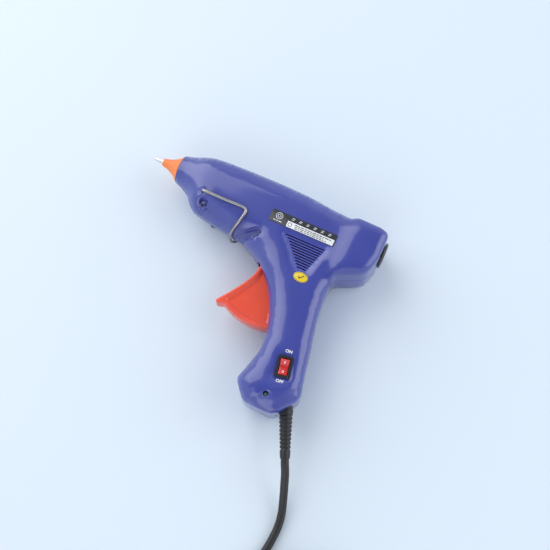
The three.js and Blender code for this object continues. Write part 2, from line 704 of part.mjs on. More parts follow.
// The hollow in each side of the trigger, inside its rim.
function fingerHollow() {
  const rim = TRIGGER_RIM;
  const back = THREE.MathUtils.degToRad(-73);
  const front = THREE.MathUtils.degToRad(-119.6);
  const shape = new THREE.Shape();
  shape.moveTo(TRIGGER_PIVOT.x + 1, TRIGGER_PIVOT.y - 2);
  shape.lineTo(107.2 + rim, -42.6 - 0.5 * rim);
  shape.splineThru([
    new THREE.Vector2(105.4 + rim, -52 - 0.2 * rim),
    new THREE.Vector2(101.6 + 0.9 * rim, -60.6 - 0.4 * rim),
    new THREE.Vector2(96 + 0.8 * rim, -70 - 0.5 * rim),
  ]);
  shape.absarc(TRIGGER_PIVOT.x, TRIGGER_PIVOT.y, TRIGGER_RADIUS - rim, front, back, false);
  shape.closePath();
  return shape;
}

function trigger() {
  const pad = slab(fingerPiece(), -TRIGGER_HALF, TRIGGER_HALF, 5);
  const dish = fingerHollow();
  const hollows = [-1, 1].map((side) => {
    const inner = side * TRIGGER_WEB_HALF;
    const outer = side * (TRIGGER_HALF + 1);
    return slab(dish, Math.min(inner, outer), Math.max(inner, outer), 5);
  });
  const hub = postZ(TRIGGER_PIVOT.x, TRIGGER_PIVOT.y, HUB_RADIUS, -TRIGGER_HALF, TRIGGER_HALF, 24);
  const arm = new THREE.Shape([
    new THREE.Vector2(TRIGGER_PIVOT.x - 3.6, TRIGGER_PIVOT.y),
    new THREE.Vector2(TRIGGER_PIVOT.x + 3.6, TRIGGER_PIVOT.y),
    new THREE.Vector2(DRIVE_PIN.x + 2.6, DRIVE_PIN.y),
    new THREE.Vector2(DRIVE_PIN.x - 2.6, DRIVE_PIN.y),
  ]);
  const body = joined(
    cut(pad, ...hollows),
    hub,
    slab(arm, -2.4, 2.4),
    postZ(DRIVE_PIN.x, DRIVE_PIN.y, 2.6, -2.4, 2.4, 18),
    postZ(DRIVE_PIN.x, DRIVE_PIN.y, PIN_RADIUS, -5.2, 5.2, 14),
  );
  return cut(body, postZ(TRIGGER_PIVOT.x, TRIGGER_PIVOT.y, PIN_RADIUS + GAP, -20, 20, 14));
}

function triggerPin() {
  return postZ(TRIGGER_PIVOT.x, TRIGGER_PIVOT.y, PIN_RADIUS, -13, 13, 14);
}

function carriage() {
  const end = CARRIAGE_X + CARRIAGE_LENGTH;
  const tube = turned([[CARRIAGE_X, CARRIAGE_BORE], [CARRIAGE_X, CARRIAGE_RADIUS], [end, CARRIAGE_RADIUS],
    [end, CARRIAGE_BORE]]);
  const bore = rodX(CARRIAGE_X - 1, end + 1, CARRIAGE_BORE + 0.6);
  const ears = block(CARRIAGE_X + 3, -EAR_HALF, -EAR_REACH, end - 3, EAR_HALF, EAR_REACH).subtract(bore);
  const lugs = [-1, 1].map((side) => {
    const [z0, z1] = side > 0 ? [5.3, 7.2] : [-7.2, -5.3];
    return block(GRIPPER_PIVOT.x - 3, GRIPPER_PIVOT.y - 2.6, z0, GRIPPER_PIVOT.x + 3, -4.2, z1).subtract(bore);
  });
  const hook = block(end - 3, SPRING_AXIS.x - 1.6, SPRING_AXIS.y - 1.8, end - 1, -1, SPRING_AXIS.y + 1.4);
  const window = block(GRIPPER_PIVOT.x - 7.4, -20, -5.2, GRIPPER_PIVOT.x + 3.6, -4.4, 5.2);
  const pinHole = postZ(GRIPPER_PIVOT.x, GRIPPER_PIVOT.y, GRIPPER_PIN_RADIUS + GAP, -20, 20, 12);
  return cut(joined(tube, ears, ...lugs, hook), window, pinHole);
}

function gripper() {
  const cheek = new THREE.Shape([
    new THREE.Vector2(GRIPPER_PIVOT.x + 2.4, GRIPPER_PIVOT.y + 2),
    new THREE.Vector2(GRIPPER_PIVOT.x - 5.6, GRIPPER_PIVOT.y + 2),
    new THREE.Vector2(DRIVE_PIN.x - 4.2, DRIVE_PIN.y + 3.4),
    new THREE.Vector2(DRIVE_PIN.x - 4.2, DRIVE_PIN.y - 4.2),
    new THREE.Vector2(DRIVE_PIN.x + 4, DRIVE_PIN.y - 4.2),
    new THREE.Vector2(GRIPPER_PIVOT.x + 2.4, GRIPPER_PIVOT.y - 2.4),
  ]);
  const cheeks = [slab(cheek, 3.1, 4.7), slab(cheek, -4.7, -3.1)];
  const tooth = new THREE.Shape([
    new THREE.Vector2(GRIPPER_PIVOT.x - 1, GRIPPER_PIVOT.y + 1.7),
    new THREE.Vector2(GRIPPER_PIVOT.x - 1.6, GRIPPER_PIVOT.y + 3.6),
    new THREE.Vector2(GRIPPER_PIVOT.x - 3, -STICK_RADIUS - GAP),
    new THREE.Vector2(GRIPPER_PIVOT.x - 4.2, GRIPPER_PIVOT.y + 3.6),
    new THREE.Vector2(GRIPPER_PIVOT.x - 5.6, GRIPPER_PIVOT.y + 1.7),
  ]);
  const slot = postZ(DRIVE_PIN.x, DRIVE_PIN.y, PIN_RADIUS + 1.3, -10, 10, 18);
  const pivot = postZ(GRIPPER_PIVOT.x, GRIPPER_PIVOT.y, GRIPPER_PIN_RADIUS + GAP, -10, 10, 12);
  return cut(joined(...cheeks, slab(tooth, -4.7, 4.7)), slot, pivot);
}

function gripperPin() {
  return postZ(GRIPPER_PIVOT.x, GRIPPER_PIVOT.y, GRIPPER_PIN_RADIUS, -7.6, 7.6, 12);
}

function returnSpring() {
  const start = CARRIAGE_X + CARRIAGE_LENGTH - 1 + GAP + SPRING_WIRE;
  const end = SPRING_POST_X - GAP - SPRING_WIRE;
  const points = [];
  const perTurn = 8;
  for (let i = 0; i <= SPRING_TURNS * perTurn; i += 1) {
    const angle = (2 * Math.PI * i) / perTurn;
    const x = THREE.MathUtils.lerp(start, end, i / (SPRING_TURNS * perTurn));
    const y = SPRING_AXIS.x + SPRING_RADIUS * Math.cos(angle);
    points.push([x, y, SPRING_AXIS.y + SPRING_RADIUS * Math.sin(angle)]);
  }
  return solid(swept(curveThrough(points), SPRING_WIRE, SPRING_TURNS * perTurn, 5));
}

// ---- outside fittings ---------------------------------------------------------------------------------------

// The folded wire stand: out of the casing, back along the side, round under the belly and up again.
function standWire() {
  const bend = 3.2;
  const corner = STAND_PIVOT.x + STAND_REACH;
  const drop = BELLY_ROUND + STAND_WIRE + 0.5;
  const middle = STAND_HALF - drop;
  const side = [
    [STAND_PIVOT.x, STAND_PIVOT.y, 12],
    [STAND_PIVOT.x, STAND_PIVOT.y, STAND_HALF - 2],
    [STAND_PIVOT.x + 0.6, STAND_PIVOT.y, STAND_HALF - 0.6],
    [STAND_PIVOT.x + 2, STAND_PIVOT.y, STAND_HALF],
    [STAND_PIVOT.x + STAND_REACH / 2, STAND_PIVOT.y, STAND_HALF],
    [corner - bend, STAND_PIVOT.y, STAND_HALF],
    [corner - 0.3 * bend, STAND_PIVOT.y - 0.3 * bend, STAND_HALF],
  ];
  for (let i = 1; i <= 5; i += 1) {
    const angle = (Math.PI / 2) * (0.1 + 0.18 * i);
    const lag = Math.pow(Math.sin(angle), 1.5);
    side.push([
      corner - STAND_BOW * lag,
      STAND_PIVOT.y - 1.3 - drop * Math.sin(angle),
      middle + drop * Math.cos(angle),
    ]);
  }
  const other = side.map(([x, y, z]) => [x, y, -z]).reverse();
  return solid(swept(curveThrough([...side, ...other]), STAND_WIRE, 76, 8));
}

// Puts a piece drawn about the origin, with its length along Y, onto the grip where the switch is.
function atSwitch(body, height) {
  const geometry = geometryOf(body);
  geometry.rotateZ(SWITCH_TILT);
  return solid(geometry.translate(SWITCH_CENTRE.x, SWITCH_CENTRE.y, height));
}

function centredBox(width, length, z0, z1) {
  return block(-width / 2, -length / 2, z0, width / 2, length / 2, z1);
}

function switchBody() {
  const rim = 2 * BEZEL_RIM;
  const bezel = centredBox(SWITCH_WIDTH + rim, SWITCH_LENGTH + rim, GAP, GAP + BEZEL_HEIGHT);
  const box = centredBox(SWITCH_WIDTH, SWITCH_LENGTH, -SWITCH_DEPTH, GAP + 0.1);
  const well = centredBox(ROCKER_WIDTH + 2 * RUN, ROCKER_LENGTH + 2.4 * RUN, -6, 5);
  const blades = [-4, 4].map((y) => block(-2.4, y - 0.4, -SWITCH_DEPTH - 6, 2.4, y + 0.4, -SWITCH_DEPTH + 1));
  return atSwitch(joined(cut(joined(bezel, box), well), ...blades), BODY_HALF);
}

// The rocker rests with its lower end pressed in, which is OFF.
function rocker() {
  const half = ROCKER_LENGTH / 2;
  const side = new THREE.Shape();
  side.moveTo(-half, -1.2);
  side.lineTo(half, -1.2);
  side.lineTo(half, 2.6);
  side.quadraticCurveTo(0, 0.6, -half, 2.6);
  side.closePath();
  const body = slab(side, -ROCKER_WIDTH / 2, ROCKER_WIDTH / 2, 6);
  const geometry = geometryOf(body).rotateZ(ROCKER_TILT);
  geometry.rotateX(Math.PI / 2).rotateZ(Math.PI / 2);
  return atSwitch(solid(geometry), BODY_HALF - 0.4);
}

function ledLens() {
  const points = [new THREE.Vector2(0, -9), new THREE.Vector2(LED_RADIUS, -9)];
  for (let i = 0; i <= 5; i += 1) {
    const angle = (Math.PI / 2) * (i / 5);
    points.push(new THREE.Vector2(LED_RADIUS * Math.cos(angle), LED_RADIUS * Math.sin(angle)));
  }
  const lens = new THREE.LatheGeometry(points, 16).rotateX(Math.PI / 2);
  return solid(lens.translate(LED_CENTRE.x, LED_CENTRE.y, BODY_HALF - 1.4));
}

function ledBoard() {
  const z = BODY_HALF - 10.4 - GAP;
  const { x, y } = LED_CENTRE;
  const board = block(x - 6, y - 3, z - 1.6, x + 4, y + 4, z);
  return joined(board, block(x - 5, y + 1.6, z - 0.1, x - 1.8, y + 3.2, z + 1.2));
}

// A thin sheet standing just clear of the flat side.
function onSide(shape, thick) {
  return slab(shape, BODY_HALF + 0.1, BODY_HALF + 0.1 + thick, 16);
}

function ratingLabel() {
  const end = LABEL_X + LABEL_LENGTH;
  const low = LABEL_TOP - LABEL_WIDTH;
  const shape = new THREE.Shape([
    new THREE.Vector2(LABEL_X, LABEL_TOP),
    new THREE.Vector2(LABEL_X, low),
    new THREE.Vector2(end, low),
    new THREE.Vector2(end, LABEL_TOP),
  ]);
  return onSide(shape, LABEL_THICK);
}

function checkSticker() {
  const shape = new THREE.Shape();
  shape.absellipse(
    STICKER_CENTRE.x, STICKER_CENTRE.y, STICKER_LENGTH / 2, STICKER_WIDTH / 2, 0, 2 * Math.PI, false, -0.05,
  );
  return onSide(shape, LABEL_THICK);
}

// ---- mains lead and wiring ----------------------------------------------------------------------------------

const FLOOR_Z = -BLOCK_HALF; // height of what the gun lies on
const CORD_LIE = FLOOR_Z + CORD_RADIUS + 0.05; // height of the lead's middle on it

function strainRelief() {
  const neck = RELIEF_BASE_RADIUS;
  const profile = [
    [-RELIEF_NECK - 2, CORD_RADIUS + GAP], [-RELIEF_NECK - 2, neck + 0.7], [-RELIEF_NECK, neck + 0.7],
    [-RELIEF_NECK, neck], [1.6, neck], [3, neck], [RELIEF_LENGTH, RELIEF_TIP_RADIUS],
    [RELIEF_LENGTH, CORD_RADIUS + GAP],
  ].map(([x, radius]) => new THREE.Vector2(radius, x));
  profile.push(profile[0].clone());
  return placedOnCord(new THREE.LatheGeometry(profile, 20).rotateZ(-Math.PI / 2), 0);
}

function pointOnCord(distance) {
  return CORD_EXIT.clone().addScaledVector(CORD_HEADING, distance);
}

// The lead from inside the grip, through the strain relief, down to the floor and over to the coil.
function leadRoute() {
  const inner = pointOnCord(-13);
  const middle = pointOnCord(RELIEF_LENGTH / 2);
  const tip = pointOnCord(RELIEF_LENGTH + 2);
  return [
    [inner.x, inner.y, 0],
    [CORD_EXIT.x, CORD_EXIT.y, 0],
    [middle.x, middle.y, 0],
    [tip.x, tip.y, -0.4],
    [181.4, -164.6, -3.4],
    [184.4, -172.2, -8.2],
    [187.4, -180.4, -12.8],
    [190.0, -188.4, -16],
    [191.4, -197, CORD_LIE + 0.3],
    [191.2, -206, CORD_LIE],
    [190, -216, CORD_LIE],
    [187.8, -227, CORD_LIE],
    [185, -239, CORD_LIE],
  ];
}

function supplyLead() {
  return solid(swept(curveThrough(leadRoute()), CORD_RADIUS, 34, 10));
}

function cordCoil() {
  const half = COIL_WIDTH / 2;
  const low = FLOOR_Z + 0.05;
  const points = [
    new THREE.Vector2(COIL_MEAN_RADIUS - half, low),
    new THREE.Vector2(COIL_MEAN_RADIUS + half, low),
    new THREE.Vector2(COIL_MEAN_RADIUS + half, low + COIL_HEIGHT),
    new THREE.Vector2(COIL_MEAN_RADIUS - half, low + COIL_HEIGHT),
    new THREE.Vector2(COIL_MEAN_RADIUS - half, low),
  ];
  const ring = new THREE.LatheGeometry(points, 40).rotateX(Math.PI / 2);
  return solid(ring.translate(COIL_CENTRE.x, COIL_CENTRE.y, 0));
}

// The plug lies flat, with its pins along +X, past the coil.
const PLUG_REAR = new THREE.Vector3(238, -301, FLOOR_Z + PLUG_THICK / 2 + 0.05);

function tailRoute() {
  return [
    [212.0, -295.6, CORD_LIE],
    [219.0, -298.8, CORD_LIE + 0.6],
    [225.0, -300.4, CORD_LIE + 2],
    [231.0, -301.0, PLUG_REAR.z - 0.6],
    [PLUG_REAR.x - GAP, PLUG_REAR.y, PLUG_REAR.z],
  ];
}

function tailLead() {
  return solid(swept(curveThrough(tailRoute()), CORD_RADIUS, 8, 10));
}

function plugBody() {
  const half = PLUG_WIDTH / 2;
  const { x, y, z } = PLUG_REAR;
  const shape = new THREE.Shape();
  shape.moveTo(x, y + 3.6);
  shape.quadraticCurveTo(x + 8, y + 4.4, x + 13, y + half);
  shape.lineTo(x + PLUG_LENGTH, y + half);
  shape.lineTo(x + PLUG_LENGTH, y - half);
  shape.lineTo(x + 13, y - half);
  shape.quadraticCurveTo(x + 8, y - 4.4, x, y - 3.6);
  shape.closePath();
  const body = slab(shape, z - PLUG_THICK / 2, z + PLUG_THICK / 2, 6);
  const sockets = [-1, 1].map((side) =>
    rodX(x + PLUG_LENGTH - 8, x + PLUG_LENGTH + 1, PLUG_PIN_RADIUS + GAP, y + (side * PLUG_PIN_SPACING) / 2, z, 14),
  );
  return cut(body, ...sockets);
}

function plugPin(side) {
  const start = PLUG_REAR.x + PLUG_LENGTH - 8 + GAP;
  const end = PLUG_REAR.x + PLUG_LENGTH + PLUG_PIN_LENGTH;
  return rodX(start, end, PLUG_PIN_RADIUS, PLUG_REAR.y + (side * PLUG_PIN_SPACING) / 2, PLUG_REAR.z, 14);
}

// A bar across the lead inside the grip, held by two screws.
const CLAMP_DISTANCE = -11; // along the lead, before the exit
const CLAMP_SCREW_REACH = 4.6;

function cordClamp() {
  const bar = new THREE.BoxGeometry(4, 12.6, 2.4).translate(CLAMP_DISTANCE, 0, CORD_RADIUS + GAP + 1.2);
  const body = placedOnCord(bar, 0);
  return cut(body, ...clampScrewPlaces().map((place) => postZ(place.x, place.y, 1.1 + GAP, -30, 30, 10)));
}

function clampScrewPlaces() {
  const across = new THREE.Vector2(-CORD_HEADING.y, CORD_HEADING.x);
  const middle = pointOnCord(CLAMP_DISTANCE);
  return [-1, 1].map((side) => middle.clone().addScaledVector(across, side * CLAMP_SCREW_REACH));
}

function clampScrew(place) {
  const top = CORD_RADIUS + 2.4 + 2 * GAP;
  return joined(
    postZ(place.x, place.y, 1.1, -6, top + 0.2, 10),
    postZ(place.x, place.y, 2, top, top + 1.4, 12),
  );
}

// One wire of a pair that runs side by side.
function wire(route, side, steps) {
  const points = route.map(([x, y, z]) => [x, y, z + side * WIRE_SPREAD]);
  return solid(swept(curveThrough(points), WIRE_RADIUS, steps, 6));
}

// From the switch up the back of the grip and forward to the heater's tabs.
function heaterWire(side) {
  const route = [
    [154, -96, 3],
    [153, -82, 8],
    [149.6, -66, 8.8],
    [142.5, -49.6, 9.4],
    [134, -31, 10],
    [118, -26, 10.2],
    [102, -21.4, 9.4],
    [92, -20, 6.4],
    [86, -18.8, 2.6],
    [82.6, -17.2, 0.4],
  ];
  return wire(route, side, 26);
}

// From the lead's cut end to the switch.
function switchWire(side) {
  const route = [
    [158.6, -113.2, 1.2],
    [157.4, -106, -0.6],
    [156.6, -99, -2.4],
    [156, -94, -2.6],
  ];
  return wire(route, side, 10);
}

// ---- assembly -----------------------------------------------------------------------------------------------

const group = new THREE.Group();

function piece(name, body, material, parent = group) {
  const mesh = new THREE.Mesh(geometryOf(body), material);
  mesh.name = name;
  parent.add(mesh);
}

// Pieces that come more than once, numbered from 1.
function pieces(name, bodies, material, parent = group) {
  bodies.forEach((body, i) => piece(`${name}_${i + 1}`, body, material, parent));
}

const gun = new THREE.Group();
group.add(gun);
piece("housing_left", leftHousing(), BLUE_SHELL, gun);
piece("housing_right", rightHousing(), BLUE_SHELL, gun);
pieces("housing_screw", SCREW_PLACES.map(housingScrew), BRIGHT_STEEL, gun);
piece("nozzle", nozzle(), NOZZLE_METAL, gun);
piece("nozzle_boot", nozzleBoot(), ORANGE_SILICONE, gun);
piece("melt_chamber", meltChamber(), CAST_ALUMINIUM, gun);
const heater = heaterLayers();
pieces("mica_sheet", [heater.upperMica, heater.lowerMica].map(micaSheet), MICA_SHEET, gun);
piece("electrode_1", electrode(heater.upperElectrode, 2.6), BRASS, gun);
piece("electrode_2", electrode(heater.lowerElectrode, -2.6), BRASS, gun);
pieces("heater_chip", [0, 1].map(heaterChip), CERAMIC_GREY, gun);
piece("heater_wedge", heaterWedge(), CAST_ALUMINIUM, gun);
piece("front_support", supportRing(FRONT_SUPPORT_X, FRONT_SUPPORT_RADIUS), PHENOLIC, gun);
piece("rear_support", supportRing(REAR_SUPPORT_X, REAR_SUPPORT_RADIUS), PHENOLIC, gun);
piece("feed_sleeve", feedSleeve(), RED_SILICONE, gun);
piece("sleeve_clamp", sleeveClamp(), BRIGHT_STEEL, gun);
piece("inlet_guide", inletGuide(), BLACK_PLASTIC, gun);
piece("trigger", trigger(), RED_PLASTIC, gun);
piece("trigger_pin", triggerPin(), BRIGHT_STEEL, gun);
piece("feed_carriage", carriage(), WHITE_PLASTIC, gun);
piece("gripper", gripper(), BRIGHT_STEEL, gun);
piece("gripper_pin", gripperPin(), BRIGHT_STEEL, gun);
piece("return_spring", returnSpring(), BRIGHT_STEEL, gun);
piece("stand_wire", standWire(), BRIGHT_STEEL, gun);
piece("switch_body", switchBody(), BLACK_PLASTIC, gun);
piece("rocker", rocker(), RED_PLASTIC, gun);
piece("led_lens", ledLens(), GREEN_LENS, gun);
piece("led_board", ledBoard(), GREEN_BOARD, gun);
piece("rating_label", ratingLabel(), LABEL_STOCK, gun);
piece("check_sticker", checkSticker(), YELLOW_STOCK, gun);
piece("cord_clamp", cordClamp(), WHITE_PLASTIC, gun);
pieces("clamp_screw", clampScrewPlaces().map(clampScrew), BRIGHT_STEEL, gun);
pieces("heater_wire", [-1, 1].map(heaterWire), RED_SILICONE, gun);
pieces("switch_wire", [-1, 1].map(switchWire), RED_SILICONE, gun);

const lead = new THREE.Group();
group.add(lead);
piece("strain_relief", strainRelief(), BLACK_RUBBER, lead);
piece("supply_lead", supplyLead(), BLACK_RUBBER, lead);
piece("cord_coil", cordCoil(), BLACK_RUBBER, lead);
piece("tail_lead", tailLead(), BLACK_RUBBER, lead);
piece("plug_body", plugBody(), BLACK_RUBBER, lead);
pieces("plug_pin", [-1, 1].map(plugPin), BRASS, lead);

// The origin is on the floor under the middle of the gun itself, without its lead.
const extent = new THREE.Box3().setFromObject(gun);
const middle = extent.getCenter(new THREE.Vector3());
group.position.set(-middle.x, -middle.y, -extent.min.z);

export default group;
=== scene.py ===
"""A hot melt glue gun lying on its right side: its finished surfaces, its lead, and the studio round it.

Sizes and places are in millimetres on the gun's own drawing, where X runs from the nozzle tip to the rear,
Y = 0 is the axis of the glue stick with the grip towards -Y, and Z = 0 is the parting plane of the casing.
"""

import logging
import math
from collections.abc import Callable, Iterable, Sequence
from dataclasses import dataclass, field
from enum import Enum

import bmesh
import bpy
import numpy as np
from mathutils import Matrix, Vector
from mathutils.geometry import delaunay_2d_cdt

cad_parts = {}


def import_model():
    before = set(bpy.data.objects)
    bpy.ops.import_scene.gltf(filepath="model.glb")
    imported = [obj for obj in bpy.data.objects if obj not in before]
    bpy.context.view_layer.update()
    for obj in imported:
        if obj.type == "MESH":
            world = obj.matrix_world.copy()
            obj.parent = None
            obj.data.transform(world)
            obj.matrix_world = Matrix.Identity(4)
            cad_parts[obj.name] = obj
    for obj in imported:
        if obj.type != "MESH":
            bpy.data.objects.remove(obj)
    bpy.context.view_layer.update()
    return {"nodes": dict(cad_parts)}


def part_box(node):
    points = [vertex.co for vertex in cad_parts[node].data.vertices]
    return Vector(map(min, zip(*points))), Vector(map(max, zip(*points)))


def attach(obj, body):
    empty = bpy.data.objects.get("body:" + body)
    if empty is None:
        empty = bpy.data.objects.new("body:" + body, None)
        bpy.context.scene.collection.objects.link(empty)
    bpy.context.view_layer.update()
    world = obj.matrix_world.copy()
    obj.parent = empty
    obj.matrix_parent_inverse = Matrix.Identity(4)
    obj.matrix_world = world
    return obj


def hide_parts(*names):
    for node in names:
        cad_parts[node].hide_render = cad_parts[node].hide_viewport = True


LOG = logging.getLogger("glue_gun")
MM = 0.001
NOSE_X = 22.0
REAR_X = 180.0
BODY_HALF = 18.0
TRIGGER_PIVOT = (118.0, -39.0)
STAND_PIVOT = (48.0, -15.0)
SWITCH_CENTRE = (153.2, -105.7)
SWITCH_TILT = 11.4
LAMP_CENTRE = (149.8, -126.8)
Points = Sequence[Sequence[float]]
Shape = tuple[np.ndarray, Iterable[Sequence[int]]]


class Body(Enum):
    """The bodies that new pieces move with."""

    GUN = "gun"
    TRIGGER = "trigger"
    STAND = "stand"
    ROCKER = "rocker"


class Slot(Enum):
    """The material slots named with new pieces; nothing reads them."""

    SHELL = "shell"
    RED = "red_plastic"
    ORANGE = "silicone_orange"
    STEEL = "steel"
    NOZZLE = "nozzle_metal"
    BRASS = "brass"
    WHITE = "white_plastic"
    BLACK = "black_plastic"
    RUBBER = "black_rubber"
    LENS = "green_lens"
    LABEL = "label"
    STICKER = "sticker"


# ---- drawing and meshes -------------------------------------------------------------------------------------


@dataclass(frozen=True)
class Drawing:
    """Places the gun's drawing, in millimetres, in the part's frame, in metres."""

    origin: np.ndarray

    @classmethod
    def from_frame(cls) -> "Drawing":
        """Reads the origin from the nozzle, whose tip is X = 0 and whose axis is Y = Z = 0.

        Returns:
            The drawing of the loaded frame.
        """
        low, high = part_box("nozzle")
        return cls(np.array([low.x, (low.y + high.y) / 2, (low.z + high.z) / 2]))

    def place(self, points: Iterable[Sequence[float]]) -> np.ndarray:
        """Turns drawing points into frame points.

        Args:
            points: points in millimetres.

        Returns:
            The same points in metres, in the frame.
        """
        return np.asarray(list(points), float) * MM + self.origin

    def mesh(self, name: str, points: Iterable[Sequence[float]], faces: Iterable[Sequence[int]]) -> bpy.types.Object:
        """Makes a mesh object from points on the drawing.

        Args:
            name: the piece's name.
            points: its vertices in millimetres.
            faces: vertex numbers of each face.

        Returns:
            The new object, linked to the scene.
        """
        data = bpy.data.meshes.new(name)
        data.from_pydata(self.place(points).tolist(), [], [tuple(face) for face in faces])
        data.validate()
        data.update()
        return linked(name, data)


def linked(name: str, data: bpy.types.ID) -> bpy.types.Object:
    """Makes an object of its data and links it to the scene.

    Args:
        name: the object's name.
        data: its mesh, curve, camera or light.

    Returns:
        The new object.
    """
    made = bpy.data.objects.new(name, data)
    bpy.context.scene.collection.objects.link(made)
    return made


def evaluated_mesh(piece: bpy.types.Object) -> bpy.types.Mesh:
    """The mesh that a piece's modifiers or lettering come to.

    Args:
        piece: the object.

    Returns:
        A new mesh.
    """
    graph = bpy.context.evaluated_depsgraph_get()
    return bpy.data.meshes.new_from_object(piece.evaluated_get(graph), depsgraph=graph)


def smooth(piece: bpy.types.Object, sharp_degrees: float = 38.0) -> bpy.types.Object:
    """Shades a mesh smooth, except over edges sharper than an angle.

    Args:
        piece: the mesh object.
        sharp_degrees: the angle above which an edge stays sharp.

    Returns:
        The same object.
    """
    piece.data.polygons.foreach_set("use_smooth", [True] * len(piece.data.polygons))
    piece.data.set_sharp_from_angle(angle=math.radians(sharp_degrees))
    return piece


def apply_modifiers(piece: bpy.types.Object) -> bpy.types.Object:
    """Bakes a piece's modifiers into its mesh.

    Args:
        piece: the mesh object.

    Returns:
        The same object with no modifiers left.
    """
    made = evaluated_mesh(piece)
    piece.modifiers.clear()
    piece.data = made
    return piece


def filmed(piece: bpy.types.Object, thickness: float, offset: float) -> bpy.types.Object:
    """Gives flat print a little thickness.

    Args:
        piece: the flat mesh object.
        thickness: of the film, in millimetres.
        offset: 1 to grow outwards, 0 to grow to both sides.

    Returns:
        The same object.
    """
    film = piece.modifiers.new("film", "SOLIDIFY")
    film.thickness = thickness * MM
    film.offset = offset
    return apply_modifiers(piece)


def weld(piece: bpy.types.Object, distance: float) -> bpy.types.Object:
    """Merges vertices that lie together.

    Args:
        piece: the mesh object.
        distance: how near they must be, in millimetres.

    Returns:
        The same object.
    """
    work = bmesh.new()
    work.from_mesh(piece.data)
    bmesh.ops.remove_doubles(work, verts=work.verts, dist=distance * MM)
    work.to_mesh(piece.data)
    work.free()
    piece.data.update()
    return piece


def soften(piece: bpy.types.Object, width: float, segments: int = 3, angle: float = 30.0) -> bpy.types.Object:
    """Rounds a piece's sharp edges.

    Args:
        piece: the mesh object.
        width: width of the rounding in millimetres.
        segments: facets across it.
        angle: edges sharper than this many degrees are rounded.

    Returns:
        The same object.
    """
    bevel = piece.modifiers.new("soften", "BEVEL")
    bevel.width = width * MM
    bevel.segments = segments
    bevel.limit_method = "ANGLE"
    bevel.angle_limit = math.radians(angle)
    bevel.miter_outer = "MITER_ARC"
    bevel.use_clamp_overlap = True
    return smooth(apply_modifiers(piece))


def full_turn(count: int) -> np.ndarray:
    """Angles evenly round a circle.

    Args:
        count: how many.

    Returns:
        The angles in radians, from 0.
    """
    return np.linspace(0.0, 2 * math.pi, count, endpoint=False)


def unit(vectors: np.ndarray) -> np.ndarray:
    """Scales vectors to length 1.

    Args:
        vectors: one in each row.

    Returns:
        The scaled vectors.
    """
    return vectors / np.maximum(np.linalg.norm(vectors, axis=1), 1e-9)[:, None]


def closed_line(points: np.ndarray) -> np.ndarray:
    """Repeats the first point at the end.

    Args:
        points: corners of a closed outline.

    Returns:
        The outline as a polyline.
    """
    return np.vstack([points, points[:1]])


def quads_between(here: int, there: int, count: int) -> list[list[int]]:
    """Faces between two rings of vertices.

    Args:
        here: number of the first ring's first vertex.
        there: number of the second ring's first vertex.
        count: vertices in each ring.

    Returns:
        One face for each vertex of a ring.
    """
    return [[here + j, here + (j + 1) % count, there + (j + 1) % count, there + j] for j in range(count)]


def edge_pairs(faces: np.ndarray) -> np.ndarray:
    """The directed edges of triangles.

    Args:
        faces: the triangles.

    Returns:
        Two vertex numbers for each edge.
    """
    return np.vstack([faces[:, [0, 1]], faces[:, [1, 2]], faces[:, [2, 0]]])


def rounded_rise(half: np.ndarray | float, radius: np.ndarray | float, depth: np.ndarray) -> np.ndarray:
    """Height of a flat side with a round edge.

    Args:
        half: height of the flat side.
        radius: of the edge.
        depth: distance of each point from the edge.

    Returns:
        One height for each point.
    """
    short = radius - np.minimum(depth, radius)
    return half - radius + np.sqrt(np.maximum(radius**2 - short**2, 0.0))


def spline_through(points: Points, per_span: int, closed: bool = False, power: float = 0.5) -> np.ndarray:
    """Samples a Catmull-Rom curve through points.

    Args:
        points: the points it passes through.
        per_span: samples in each span.
        closed: whether it runs back to its first point.
        power: 0 for even knots, 0.5 for centripetal ones.

    Returns:
        The samples, with the last point included on an open curve.
    """
    knots = np.asarray(points, float)
    count = len(knots)
    spans = count if closed else count - 1
    if closed:
        padded = np.vstack([knots[-1], knots, knots[0], knots[1]])
    else:
        padded = np.vstack([2 * knots[0] - knots[1], knots, 2 * knots[-1] - knots[-2]])
    found = []
    for i in range(spans):
        p0, p1, p2, p3 = padded[i : i + 4]
        t01, t12, t23 = (max(float(np.linalg.norm(b - a)), 1e-9) ** power for a, b in ((p0, p1), (p1, p2), (p2, p3)))
        m1 = (p2 - p1 + t12 * ((p1 - p0) / t01 - (p2 - p0) / (t01 + t12)))
        m2 = (p2 - p1 + t12 * ((p3 - p2) / t23 - (p3 - p1) / (t12 + t23)))
        for step in range(per_span):
            t = step / per_span
            found.append(
                (2 * t**3 - 3 * t**2 + 1) * p1 + (t**3 - 2 * t**2 + t) * m1
                + (3 * t**2 - 2 * t**3) * p2 + (t**3 - t**2) * m2
            )
    if not closed:
        found.append(knots[-1])
    return np.array(found)


def even_steps(points: np.ndarray, step: float, closed: bool) -> np.ndarray:
    """Spaces points evenly along a polyline.

    Args:
        points: its corners.
        step: the wanted distance between neighbours.
        closed: whether it closes on itself.

    Returns:
        The evenly spaced points.
    """
    line = closed_line(points) if closed else points
    lengths = np.linalg.norm(np.diff(line, axis=0), axis=1)
    along = np.concatenate([[0.0], np.cumsum(lengths)])
    count = max(2, round(float(along[-1]) / step))
    wanted = np.linspace(0.0, along[-1], count + 1)
    if closed:
        wanted = wanted[:-1]
    return np.column_stack([np.interp(wanted, along, line[:, i]) for i in range(line.shape[1])])


